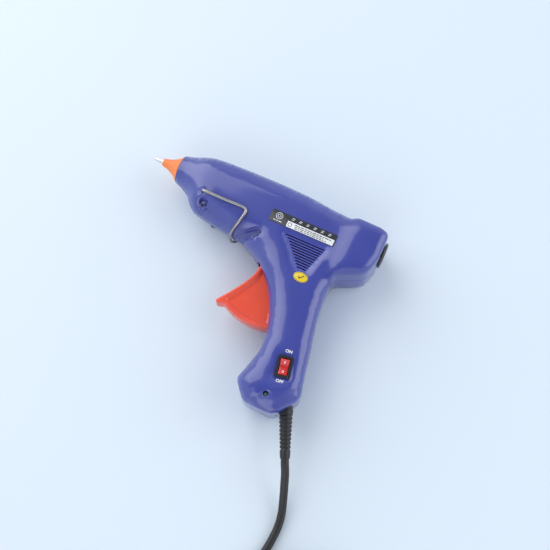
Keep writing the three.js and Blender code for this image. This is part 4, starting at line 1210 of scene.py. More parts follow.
@dataclass
class CasingForm:
    """The outer form of the casing: its outline seen from the side, and how far it stands out to the side."""

    nose_x: float = NOSE_X
    rear_x: float = REAR_X
    nose_radius: float = 10.5
    body_half: float = BODY_HALF
    block_half: float = 20.5
    butt_half: float = 20.0
    wall: float = 2.3
    stick_hole: float = 7.9
    boot_hole: float = 8.5
    trigger_pivot: tuple[float, float] = TRIGGER_PIVOT
    mouth_half: float = 6.7
    mouth_radius: float = 47.8
    step: float = 1.15
    nose_steps: int = 18
    dents: tuple[tuple[tuple[tuple[float, float], ...], float, float, float], ...] = (
        (((81.0, -35.0), (95.6, -26.4)), 5.2, 2.5, 3.2),
        (((50.9, -21.2), (51.8, -21.4)), 4.6, 2.2, 2.8),
        (((55.8, -23.0), (62.0, -24.0), (71.5, -26.2)), 1.3, 1.3, 2.6),
    )
    seam: tuple[tuple[float, float], ...] = (
        (98.2, -30.2), (103.9, -35.3), (109.4, -40.4), (114.4, -46.2), (119.2, -51.9), (123.4, -57.8), (127, -63.8),
        (130, -69.9),
    )
    scoop: tuple[tuple[float, float], ...] = (
        (138.6, -135.8), (141.0, -134.4), (143.6, -131.9), (146.2, -128.4), (149.2, -125.0), (154.0, -122.3),
        (159.6, -119.2), (165.0, -115.4), (168.6, -112.6),
    )

    def outline(self) -> np.ndarray:
        """The casing's outline, anticlockwise, finely spaced.

        Returns:
            Its corners.
        """
        pen = OutlinePen([np.array([self.nose_x, self.nose_radius])])
        pen.curve_through([
            (34, 13.4), (52, 15.6), (76, 16.4), (102, 16.4), (122, 15.4), (135, 13.8), (152, 12.8), (171, 12.4),
        ])
        pen.corner_to(self.rear_x, 11.8, self.rear_x, 6.8)
        pen.line_to(self.rear_x, -10)
        pen.line_to(177.4, -19)
        pen.corner_to(176.6, -22.5, 172, -24.5)
        pen.line_to(160, -30.2)
        pen.corner_to(156.5, -32, 156.7, -37)
        pen.curve_through([(157, -47), (159, -64.5), (163.3, -83.5), (167.6, -104), (169.8, -113.5)])
        pen.corner_to(171.2, -119, 169.6, -121.6)
        pen.line_to(161.6, -132.5)
        pen.corner_to(159.4, -136, 155, -136)
        pen.line_to(142.5, -136)
        pen.corner_to(137.5, -136, 134.6, -133.2)
        pen.line_to(129.4, -127)
        pen.corner_to(126.4, -123.6, 127.9, -120.5)
        pen.curve_through([
            (129.8, -112), (131.8, -104), (132.6, -96), (131.6, -88), (129, -79), (124.2, -67.5), (118.4, -57.5),
            (112, -50), (105.6, -43.6), (98.5, -38.8), (90, -34.6), (80, -32), (68, -30.1), (53, -27.8),
            (44, -25.8), (38.6, -21.5), (34, -16.4), (27, -12.4), (self.nose_x, -self.nose_radius),
        ])
        sides = even_steps(np.array(pen.points)[::-1], self.step, closed=False)
        front = np.linspace(self.nose_radius, -self.nose_radius, self.nose_steps + 2)[1:-1]
        nose = np.column_stack([np.full(len(front), self.nose_x), front])
        return np.vstack([sides, nose])

    def edge(self, outline: np.ndarray) -> np.ndarray:
        """The part of the outline that is rounded: all but the nose's flat front.

        Args:
            outline: the whole outline.

        Returns:
            An open polyline.
        """
        return outline[outline[:, 0] > self.nose_x - 0.01][: len(outline) - self.nose_steps]

    def half_thickness(self, p: np.ndarray) -> np.ndarray:
        """How far the flat sides stand out at flat points.

        Args:
            p: the points.

        Returns:
            Half the thickness there.
        """
        x, y = p[:, 0], p[:, 1]
        body = self.nose_radius + (self.body_half - self.nose_radius) * smoothstep(x, self.nose_x, 46)
        rear = smoothstep(x, 150, 157) * smoothstep(y, -39.5, -35.5)
        butt = smoothstep(-y, 112, 126)
        return body + (self.block_half - self.body_half) * rear + (self.butt_half - self.body_half) * butt

    def rounding(self, p: np.ndarray) -> np.ndarray:
        """Radius of the edge rounding near flat points.

        Args:
            p: the points.

        Returns:
            One radius for each point.
        """
        x, y = p[:, 0], p[:, 1]
        barrel = 16 + (11 - 16) * smoothstep(y, -12, 0)
        middle = 143 - 0.14 * (y + 60)
        grip = 10.9 + (8.5 - 10.9) * smoothstep(x - middle, -6, 6)
        body = grip + (barrel - grip) * smoothstep(y, -44, -30)
        rear = smoothstep(x, 149, 158) * smoothstep(y, -42, -34)
        return np.minimum(body + (5 - body) * rear, self.half_thickness(p) - 1)

    def height(self, p: np.ndarray, depth: np.ndarray) -> np.ndarray:
        """How far the casing stands out at flat points.

        Args:
            p: the points.
            depth: their distance from the rounded edge.

        Returns:
            Their heights.
        """
        return rounded_rise(self.half_thickness(p), self.rounding(p), depth)

    def hollows(self, p: np.ndarray, depth: np.ndarray) -> np.ndarray:
        """Depth of the shallow moulded hollows at flat points.

        Args:
            p: the points.
            depth: their distance from the rounded edge.

        Returns:
            How far the surface is sunk.
        """
        dent = np.zeros(len(p))
        for line, deep, flat, out in self.dents:
            dent = np.maximum(dent, deep * (1 - smoothstep(segment_distance(p, np.array(line)), flat, out)))
        seam = segment_distance(p, np.array(self.seam))
        dent += 0.4 * (1 - smoothstep(seam, 0.15, 0.6)) * smoothstep(depth, 1.0, 3.0)
        scoop = np.interp(p[:, 0], *np.array(self.scoop).T) - p[:, 1]
        slope = smoothstep(scoop, 0.0, 0.9) * (0.3 + 0.7 * smoothstep(scoop, 0.0, 11.0))
        dent += 3.0 * slope * smoothstep(depth, 0.2, 3.0)
        return dent * smoothstep(depth, -0.5, 0.7)

    def details(self) -> np.ndarray:
        """Rows of points that carry the moulded hollows' edges.

        Returns:
            Flat points.
        """
        found = [rows_beside(line, (0.0, flat * 0.5, flat, (flat + out) / 2, out, out + 0.6), 0.75)
                 for line, _, flat, out in self.dents]
        found.append(rows_beside(self.seam, (0.0, 0.3, 0.65, 1.1), 0.8))
        found.append(rows_beside(self.scoop, (0.0, 0.35, 0.8, 1.4), 0.8))
        return np.vstack(found)

    def foot(self, p: np.ndarray) -> np.ndarray:
        """Height of the lower edge of the casing's side wall.

        Args:
            p: corners of the outline.

        Returns:
            One height for each corner.
        """
        x, y = p[:, 0], p[:, 1]
        low = np.full(len(p), 0.15)
        for at_end, hole in ((x > self.rear_x - 0.05, self.stick_hole), (x < self.nose_x + 0.05, self.boot_hole)):
            low = np.where(at_end, np.maximum(low, np.sqrt(np.maximum(hole**2 - y**2, 0.0))), low)
        reach = np.hypot(x - self.trigger_pivot[0], y - self.trigger_pivot[1])
        front = smoothstep(-y, 41.5, 43.5) * (1 - smoothstep(x, 134, 136))
        mouth = front * (1 - smoothstep(reach, self.mouth_radius - 0.8, self.mouth_radius + 0.8))
        return np.maximum(low, self.mouth_half * mouth)


@dataclass
class Casing(Assembly):
    """The two moulded halves, with their slots and holes."""

    form: CasingForm = field(default_factory=CasingForm)
    vent_count: int = 11
    vent_pitch: float = 1.85
    vent_height: float = 0.95
    screws: tuple[tuple[float, float], ...] = ((60, -25.5), (94, -27.5), (166, -19.6), (150.5, -45), (138, -117))
    switch_size: tuple[float, float] = (9.2, 14.0)

    def vents(self) -> list[np.ndarray]:
        """Outlines of the cooling slots, which shorten towards the grip.

        Returns:
            One outline for each slot.
        """
        slots = []
        for i in range(self.vent_count):
            share = i / (self.vent_count - 1)
            left = 114.7 + (131.8 - 114.7) * share**0.85
            right = 144.2 + (138.6 - 144.2) * share
            y = -20.6 + self.vent_height / 2 - i * self.vent_pitch
            slot = rounded_box(right - left, self.vent_height, 0.46, 3)
            slots.append(slot + np.array([(left + right) / 2, y]))
        return slots

    def side(self, openings: list[np.ndarray]) -> tuple[np.ndarray, np.ndarray, int]:
        """One half of the casing, standing up from the parting plane.

        Args:
            openings: outlines cut through it.

        Returns:
            Vertices, triangles, and how many of the vertices come first, on its raised face.
        """
        outline = self.form.outline()
        relief = Relief(outline, self.form.rounding, self.form.height, self.form.edge(outline), openings,
                        self.form.details(), self.form.hollows, pitch=1.5, rings=10)
        points, faces = relief.skin(self.form.foot)
        return *thicken(points, faces, self.form.wall), len(relief.points)

    def build(self) -> None:
        """Builds and dresses both halves, with holes for their screws."""
        pivot = oval(2.7, 2.7, 20) + np.array(STAND_PIVOT)
        well = turn_flat(rounded_box(*self.switch_size, 0.6, 3), SWITCH_TILT, SWITCH_CENTRE)
        lamp = oval(3.7, 3.7, 28) + np.array(LAMP_CENTRE)
        left = self.side([*self.vents(), pivot, well, lamp])
        holes = [oval(6.1, 6.1, 32) + np.array(place) for place in self.screws]
        right = self.side([*self.vents(), pivot, *holes])
        for name, (points, faces, raised) in (("left", left), ("right", right)):
            if name == "right":
                points, faces = mirrored(points, faces)
            piece = smooth(self.drawing.mesh(f"{name}_shell", points, faces), 40)
            shade_evenly(piece, raised)
            self.dresser.dress(piece, BLUE_SHELL, Body.GUN, Slot.SHELL, [f"housing_{name}"])


# ---- glue path ----------------------------------------------------------------------------------------------


@dataclass
class GluePath(Assembly):
    """The nozzle, its silicone boot and the ring where the stick goes in."""

    hex_x: float = 20.0
    hex_length: float = 4.0
    hex_radius: float = 6.9
    inlet_radius: float = 6.4
    inlet_flange: float = 9.4

    def build(self) -> None:
        """Builds and dresses the three pieces."""
        self._nozzle()
        self._boot()
        self._inlet()

    def _nozzle(self) -> None:
        """The turned nozzle with its spanner flats and a rounded tip."""
        taper = spline_through([(0.5, 1.1), (3.4, 1.52), (7, 1.98), (11, 2.5), (14, 3.38), (18, 5.1)], 5)
        profile = [(0.05, 0.62), (0.0, 0.85), (0.15, 1.0), *[tuple(p) for p in taper], (20, 5.2), (25.4, 5.2),
                   (25.8, 4.5), (33, 4.5), (33, 2.4), (15, 2.4), (11, 0.6)]
        self.add("nozzle_tip", turned(profile, 72), 32, NOZZLE_NICKEL, Body.GUN, Slot.NOZZLE, ["nozzle"])
        near, far = self.hex_x, self.hex_x + self.hex_length
        corners = [(near, 5.3), (near, 6.6), (near + 0.5, self.hex_radius), (far - 0.5, self.hex_radius), (far, 6.6),
                   (far, 5.3)]
        flats = self.drawing.mesh("nozzle_flats", *turned(corners, 6))
        self.dresser.dress(soften(flats, 0.15, 2), NOZZLE_NICKEL, Body.GUN, Slot.NOZZLE)

    def _boot(self) -> None:
        """The flared silicone boot, thin at the nozzle and wide at the casing."""
        flare = spline_through([(7.25, 2.9), (9.2, 3.3), (11.6, 3.95), (14.4, 5.1), (17.2, 6.75), (19.6, 8.55),
                                (21.1, 10.0)], 6)
        rim = [(21.45, 10.32), (21.68, 10.3), (21.75, 10.0)]
        profile = [(7.0, 2.45), (7.02, 2.75), *[tuple(p) for p in flare], *rim, (21.75, 8.3), (26.4, 8.2), (26.5, 7.9),
                   (26.5, 7.2), (19.7, 7.2), (19.7, 5.5), (17.8, 5.5), (14, 3.7), (11, 2.8), (7.2, 2.3)]
        self.add("silicone_boot", turned(profile, 96), 34, BOOT_ORANGE, Body.GUN, Slot.ORANGE, ["nozzle_boot"])

    def _inlet(self) -> None:
        """The black ring at the rear, with a funnel for the stick and a rounded flange."""
        x, bore, flange = REAR_X, self.inlet_radius, self.inlet_flange
        profile = [(172, bore), (172, bore + 1.2), (x + 0.3, bore + 1.2), (x + 0.3, flange - 0.1), (x + 0.45, flange),
                   (x + 1.3, flange - 0.08), (x + 1.75, flange - 0.4), (x + 2.0, flange - 0.95),
                   (x + 2.0, bore + 1.5), (x + 1.8, bore + 1.05), (x + 1.1, bore + 0.4), (x + 0.2, bore)]
        self.add("inlet_ring", turned(profile, 96), 34, SWITCH_BLACK, Body.GUN, Slot.BLACK, ["inlet_guide"])


# ---- trigger and stand --------------------------------------------------------------------------------------


@dataclass
class Trigger(Assembly):
    """The finger piece: a thin web with a raised rim, its hub and the arm that drives the feed."""

    pivot: tuple[float, float] = TRIGGER_PIVOT
    half: float = 6.0
    web_half: float = 4.0
    radius: float = 46.6
    rim: float = 2.6
    edge_round: float = 1.3
    drive_radius: float = 22.0
    travel: float = 24.0

    def outline(self) -> np.ndarray:
        """The trigger seen from the side, anticlockwise.

        Returns:
            Its corners.
        """
        px, py = self.pivot
        pen = OutlinePen([np.array([px + 6.5, py - 8])])
        pen.line_to(px + 3, py - 4.2)
        pen.line_to(px - 6, py - 1.5)
        pen.line_to(107, -42.4)
        pen.curve_through([(105.4, -52), (101.6, -60.6), (96, -70), (90, -78.6)])
        pen.corner_to(88.4, -81.0, 91.4, -81.1)
        front, back = math.radians(-119), math.radians(-70)
        for i in range(33):
            angle = front + (back - front) * i / 32
            pen.line_to(px + self.radius * math.cos(angle), py + self.radius * math.sin(angle))
        return even_steps(np.array(pen.points), 0.8, closed=True)

    def height(self, p: np.ndarray, depth: np.ndarray) -> np.ndarray:
        """Half the trigger's thickness: a rounded rim round a sunk web.

        Args:
            p: flat points.
            depth: their distance from the outline.

        Returns:
            Their heights.
        """
        sunk = smoothstep(depth, self.rim, self.rim + 1.2)
        return rounded_rise(self.half, self.edge_round, depth) - (self.half - self.web_half) * sunk

    def build(self) -> None:
        """Builds the finger piece with its hub, arm and drive pin as one moulding."""
        outline = self.outline()
        relief = Relief(outline, lambda p: np.full(len(p), self.edge_round), self.height,
                        closed_line(outline), pitch=1.1, rings=5, ease=1)
        piece = smooth(two_sided(self.drawing, "finger_piece", relief, 3), 40)
        self.dresser.dress(piece, TRIGGER_RED, Body.TRIGGER, Slot.RED, ["trigger"])
        self._hub()
        self._arm()

    def _upright(self, name: str, place: tuple[float, float], profile: Points) -> bpy.types.Object:
        """A turned piece that stands along Z.

        Args:
            name: its name.
            place: its axis.
            profile: its profile of (z, radius), closed on itself.

        Returns:
            The dressed object.
        """
        points, faces = turned(profile, 40)
        placed = np.column_stack([place[0] + points[:, 1], place[1] + points[:, 2], points[:, 0]])
        return self.add(name, (placed, faces), 35, TRIGGER_RED, Body.TRIGGER, Slot.RED)

    def _hub(self) -> None:
        """The bored hub on the pin."""
        half, hub, bore = self.half, 5.0, 1.8
        self._upright("trigger_hub", self.pivot, [
            (-half, bore), (-half, hub - 0.4), (-half + 0.4, hub), (half - 0.4, hub), (half, hub - 0.4), (half, bore),
        ])

    def _arm(self) -> None:
        """The tapered arm and the pin that drives the feed."""
        px, py = self.pivot
        half_travel = math.radians(self.travel / 2)
        dx, dy = px + self.drive_radius * math.sin(half_travel), py + self.drive_radius * math.cos(half_travel)
        outline = np.array([(px - 3.6, py + 2.2), (px + 3.6, py + 2.2), (dx + 2.5, dy), (dx - 2.5, dy)])
        piece = self.drawing.mesh("trigger_arm", *slab(outline, -2.4, 2.4))
        self.dresser.dress(soften(piece, 0.5, 3), TRIGGER_RED, Body.TRIGGER, Slot.RED)
        self._upright("trigger_arm_end", (dx, dy), [(-2.4, 0.8), (-2.4, 2.3), (-2.1, 2.6), (2.1, 2.6), (2.4, 2.3),
                                                    (2.4, 0.8)])
        self._upright("drive_pin", (dx, dy), [(-5.2, 0.01), (-5.2, 1.2), (-4.9, 1.5), (4.9, 1.5), (5.2, 1.2),
                                              (5.2, 0.01)])


@dataclass
class Stand(Assembly):
    """The folded wire stand."""

    pivot: tuple[float, float] = STAND_PIVOT
    reach: float = 35.4
    wire: float = 1.0
    half: float = 19.25
    bow: float = 5.8
    drop: float = 17.5

    def route(self) -> np.ndarray:
        """The wire's centreline: out of the casing, back, under the belly and round again.

        Returns:
            Points along it.
        """
        x, y = self.pivot
        corner, bend, middle = x + self.reach, 3.2, self.half - self.drop
        side = [(x, y, 12.0), (x, y, self.half - 2), (x + 0.6, y, self.half - 0.6), (x + 2, y, self.half),
                (x + self.reach / 2, y, self.half), (corner - bend, y, self.half),
                (corner - 0.3 * bend, y - 0.3 * bend, self.half)]
        for i in range(1, 6):
            angle = (math.pi / 2) * (0.1 + 0.18 * i)
            lag = math.sin(angle) ** 1.5
            side.append((corner - self.bow * lag, y - 1.3 - self.drop * math.sin(angle),
                         middle + self.drop * math.cos(angle)))
        other = [(a, b, -c) for a, b, c in reversed(side)]
        return even_steps(spline_through([*side, *other], 12), 0.6, closed=False)

    def build(self) -> None:
        """Builds and dresses the wire."""
        self.add("stand_bow", tube(self.route(), self.wire, 18), 40, WIRE_STEEL, Body.STAND, Slot.STEEL,
                 ["stand_wire"])


# ---- switch, lamp and print ---------------------------------------------------------------------------------


@dataclass
class SwitchSet(Assembly):
    """The rocker switch in its frame, its two words and the lamp below."""

    centre: tuple[float, float] = SWITCH_CENTRE
    tilt: float = SWITCH_TILT
    side: float = BODY_HALF
    rocker_tip: float = 8.0
    rocker_half: tuple[float, float] = (3.1, 5.3)
    width: float = 8.6
    length: float = 13.4
    rim: float = 0.75
    lamp: tuple[float, float] = LAMP_CENTRE

    def placed(self, points: np.ndarray, height: float) -> np.ndarray:
        """Puts a piece drawn about the origin on the grip at the switch.

        Args:
            points: its vertices.
            height: how far it is lifted.

        Returns:
            The vertices in place.
        """
        flat = turn_flat(points[:, :2], self.tilt, self.centre)
        return np.column_stack([flat, points[:, 2] + height])

    def build(self) -> None:
        """Builds and dresses the switch, its words and the lamp."""
        self._frame()
        self._rocker()
        self._words()
        self._lamp()

    def _frame(self) -> None:
        """The black frame, a ring with a rounded top, on a box that goes into the grip."""
        outer = rounded_box(self.width + 2 * self.rim, self.length + 2 * self.rim, 1.0)
        inner = rounded_box(7.2, 11.9, 0.5)
        rows = [(outer, 0.3), (outer, 1.15), (outer * 0.975, 1.42), (inner * 1.06, 1.42), (inner, 1.2), (inner, -5.0)]
        self._rows("switch_frame", rows, True, ["switch_body"])
        box = rounded_box(self.width, self.length, 0.4)
        self._rows("switch_box", [(box * 0.99, -0.6), (box, -0.7), (box, -12.6), (box * 0.97, -13.0)], False, [])

    def _rows(self, name: str, rows: list[tuple[np.ndarray, float]], open_middle: bool, nodes: list[str]) -> None:
        """Skins stacked outlines of equal length.

        Args:
            name: the piece's name.
            rows: outlines and their heights, from the outside in.
            open_middle: True for a ring whose last row joins its first, False for a closed block.
            nodes: the nodes it stands for.
        """
        count = len(rows[0][0])
        points = np.vstack([np.column_stack([flat, np.full(count, z)]) for flat, z in rows])
        faces = []
        for i in range(len(rows) if open_middle else len(rows) - 1):
            faces += quads_between(i * count, ((i + 1) % len(rows)) * count, count)
        if not open_middle:
            faces = [face[::-1] for face in faces]
            faces.append(list(range(count)))
            faces.append([(len(rows) - 1) * count + j for j in range(count)][::-1])
        self.add(name, (self.placed(points, self.side), faces), 30, SWITCH_BLACK, Body.GUN, Slot.BLACK, nodes)

    def _tipped(self, points: np.ndarray) -> np.ndarray:
        """Tips points drawn on a level rocker, and puts them in place.

        Args:
            points: the points.

        Returns:
            The points on the drawing.
        """
        c, s = math.cos(math.radians(self.rocker_tip)), math.sin(math.radians(self.rocker_tip))
        x, y, z = points.T
        return self.placed(np.column_stack([x, c * y - s * z, s * y + c * z]), self.side - 0.4)

    def _crown(self, share: np.ndarray) -> np.ndarray:
        """Height of the rocker's top, two flats that meet in a shallow valley.

        Args:
            share: how far along the rocker, from -1 to 1.

        Returns:
            The heights.
        """
        return 0.55 + 1.75 * (np.sqrt(share * share + 0.012) - 0.11)

    def _rocker(self) -> None:
        """The red rocker, its lower end pressed in, with a bar and a ring printed on its ends."""
        half_x, half_y = self.rocker_half
        rows, columns = 25, 13
        top = np.array([
            (x, half_y * v, self._crown(v) - 0.25 * (abs(x) / half_x) ** 6)
            for v in np.linspace(-1, 1, rows) for x in np.linspace(-half_x, half_x, columns)
        ])
        faces = [[a, a + 1, a + columns + 1, a + columns]
                 for i in range(rows - 1) for a in range(i * columns, (i + 1) * columns - 1)]
        rim = [*range(columns), *((i + 1) * columns - 1 for i in range(1, rows)),
               *((rows - 1) * columns + j for j in range(columns - 2, -1, -1)),
               *(i * columns for i in range(rows - 2, 0, -1))]
        base, count = len(top), len(rim)
        low = np.column_stack([top[rim][:, :2], np.full(count, -1.4)])
        for k in range(count):
            m = (k + 1) % count
            faces.append([rim[m], rim[k], base + k, base + m])
        faces.append([base + k for k in range(count)][::-1])
        piece = self.drawing.mesh("rocker_key", self._tipped(np.vstack([top, low])), faces)
        self.dresser.dress(soften(piece, 0.28, 3, 50), ROCKER_RED, Body.ROCKER, Slot.RED, ["rocker"])
        bar = np.array([(-0.28, 2.2), (0.28, 2.2), (0.28, 3.9), (-0.28, 3.9)])
        self._mark("rocker_dash", bar, [[0, 1, 2, 3]])
        centre = np.array([0, -3.1])
        outer = oval(1.5, 1.7, 28) + centre
        middle = outer.mean(0)
        count = len(outer)
        self._mark("rocker_ring", np.vstack([outer, middle + (outer - middle) * 0.62]), quads_between(0, count, count))

    def _mark(self, name: str, flat: np.ndarray, faces: list[list[int]]) -> None:
        """A white mark printed on the rocker.

        Args:
            name: the piece's name.
            flat: its flat points.
            faces: its faces, facing out.
        """
        crown = self._crown(flat[:, 1] / 5.45) + 0.03
        self._film(name, self._tipped(np.column_stack([flat, crown])), faces, Body.ROCKER)

    def _film(self, name: str, points: np.ndarray, faces: list[list[int]], body: Body) -> None:
        """A white print with a little thickness.

        Args:
            name: the piece's name.
            points: its vertices.
            faces: its faces, facing out.
            body: the body it moves with.
        """
        self.dresser.dress(filmed(self.drawing.mesh(name, points, faces), 0.04, 1.0), PRINT_WHITE, body, Slot.WHITE)

    def _words(self) -> None:
        """The words for on and off, printed above and below the switch."""
        form = CasingForm()
        edge = form.edge(form.outline())
        for name, words, place in (("word_on", "ON", (151.9, -94.9)), ("word_off", "OFF", (154.6, -115.6))):
            points, faces = printed_text(name, words, 2.2)
            flat = turn_flat(points[:, :2], self.tilt - 4, place)
            depth = segment_distance(flat, edge)
            lie = form.height(flat, depth) - form.hollows(flat, depth)
            self._film(name, np.column_stack([flat, lie + 0.13]), faces, Body.GUN)

    def _lamp(self) -> None:
        """The lamp's domed lens in its hole."""
        dome = [(1.6 * math.cos(a), 1.6 * math.sin(a)) for a in np.linspace(0.0, math.pi / 2, 12)]
        profile = [(-9.0, 0.01), (-9.0, 1.6), *[(h, r) for r, h in dome]]
        points, faces = turned(profile, 40, closed=False)
        upright = np.column_stack([points[:, 1] + self.lamp[0], points[:, 2] + self.lamp[1], points[:, 0] + 17.2])
        piece = weld(smooth(self.drawing.mesh("lamp_lens", upright, faces), 40), 0.03)
        self.dresser.dress(piece, LENS_GREEN, Body.GUN, Slot.LENS, ["led_lens"])


@dataclass
class Labels(Assembly):
    """The rating label and the inspection sticker on the left side, with neutral marks."""

    side: float = 18.1
    left: float = 99.2
    length: float = 49.2
    top: float = -6.2
    width: float = 9.2
    oval_centre: tuple[float, float] = (137.3, -44.6)

    def plate(self, name: str, outline: np.ndarray, low: float, high: float, finish: Finish, slot: Slot,
              nodes: Sequence[str] = ()) -> None:
        """A thin flat plate.

        Args:
            name: the piece's name.
            outline: its outline, anticlockwise.
            low: height of its back.
            high: height of its face.
            finish: its surface.
            slot: its material slot.
            nodes: the nodes it stands for.
        """
        piece = self.drawing.mesh(name, *slab(outline, low, high))
        soften(piece, min(0.06, 0.4 * (high - low)), 2)
        self.dresser.dress(piece, finish, Body.GUN, slot, nodes)

    def build(self) -> None:
        """Builds and dresses the label, its print and the sticker."""
        base = self.side
        centre = np.array([self.left + self.length / 2, self.top - self.width / 2])
        self.plate("label_sheet", rounded_box(self.length, self.width, 0.5) + centre, base, base + 0.16, LABEL_DARK,
                   Slot.LABEL, ["rating_label"])
        white_length = self.length - 14
        panel = np.array([self.left + 13.2 + white_length / 2, self.top - 6.55])
        self.plate("label_panel", rounded_box(white_length, 4.6, 0.3) + panel, base + 0.16, base + 0.19, LABEL_WHITE,
                   Slot.LABEL)
        self._marks(base + 0.19)
        self._sticker(base)

    def _marks(self, height: float) -> None:
        """Bars and plain rings in the place of small print.

        Args:
            height: height of the white panel.
        """
        left, top = self.left, self.top
        swirl = np.array([left + 6.2, top - 3.6])
        light = [(oval(size, size, 36) + swirl, oval(size - 0.7, size - 0.7, 36) + swirl) for size in (5.0, 2.5)]
        bars = [(left + 6.2, top - 7.4, 6.4, 0.5)]
        for i in range(6):
            bars += [(left + 16.4 + 5.5 * i, top - 1.5, 2.0, 0.4), (left + 16.4 + 5.5 * i, top - 2.6, 2.6, 0.4)]
        self._print("label_print_light", light, bars, self.side + 0.16, PRINT_WHITE)
        mark = np.array([left + 15.4, top - 6.6])
        bars = [(left + 32.6, top - 5.5, 27.0, 0.62), (left + 30.0, top - 6.8, 21.5, 0.5),
                (left + 31.4, top - 8.0, 24.0, 0.5)]
        rings = [(oval(3.0, 3.0, 30) + mark, oval(2.3, 2.3, 30) + mark)]
        self._print("label_print_dark", rings, bars, height, PRINT_DARK)

    def _print(self, name: str, rings: list[tuple[np.ndarray, np.ndarray]],
               bars: list[tuple[float, float, float, float]], height: float, finish: Finish) -> None:
        """Prints rings and broken bars as a thin film.

        Args:
            name: the piece's name.
            rings: outer and inner outlines.
            bars: centre X, centre Y, length and height of each bar.
            height: height of the surface under the print.
            finish: its surface.
        """
        points, faces = [], []
        for outer, inner in rings:
            start, count = len(points), len(outer)
            points += [(*p, height + 0.03) for p in np.vstack([outer, inner])]
            faces += quads_between(start, start + count, count)
        for x, y, length, tall in bars:
            word = 0.0
            step = 0
            while word < length - 0.3:
                size = min((1.9, 1.2, 2.6, 1.5)[step % 4], length - word)
                start = len(points)
                left = x - length / 2 + word
                points += [(left, y - tall / 2, height + 0.03), (left + size, y - tall / 2, height + 0.03),
                           (left + size, y + tall / 2, height + 0.03), (left, y + tall / 2, height + 0.03)]
                faces.append([start, start + 1, start + 2, start + 3])
                word += size + 0.5
                step += 1
        self.dresser.dress(filmed(self.drawing.mesh(name, points, faces), 0.03, 0.0), finish, Body.GUN, Slot.LABEL)

    def _sticker(self, base: float) -> None:
        """The oval sticker with a dark line round it and a tick.

        Args:
            base: height of the casing's side under it.
        """
        centre = np.array(self.oval_centre)
        self.plate("oval_sheet", oval(10.4, 7.0, 72) + centre, base, base + 0.14, STICKER_YELLOW, Slot.STICKER,
                   ["check_sticker"])
        rings = [(oval(9.7, 6.3, 64) + centre, oval(9.3, 5.9, 64) + centre)]
        self._print("sticker_line", rings, [], base + 0.12, PRINT_DARK)
        tick = np.array([(-1.9, 0.1), (-0.6, -1.5), (2.2, 1.5), (1.7, 1.9), (-0.6, -0.55), (-1.4, 0.5)]) + centre
        piece = self.drawing.mesh("sticker_tick", *slab(tick, base + 0.13, base + 0.17))
        self.dresser.dress(piece, PRINT_DARK, Body.GUN, Slot.STICKER)


# ---- lead ---------------------------------------------------------------------------------------------------


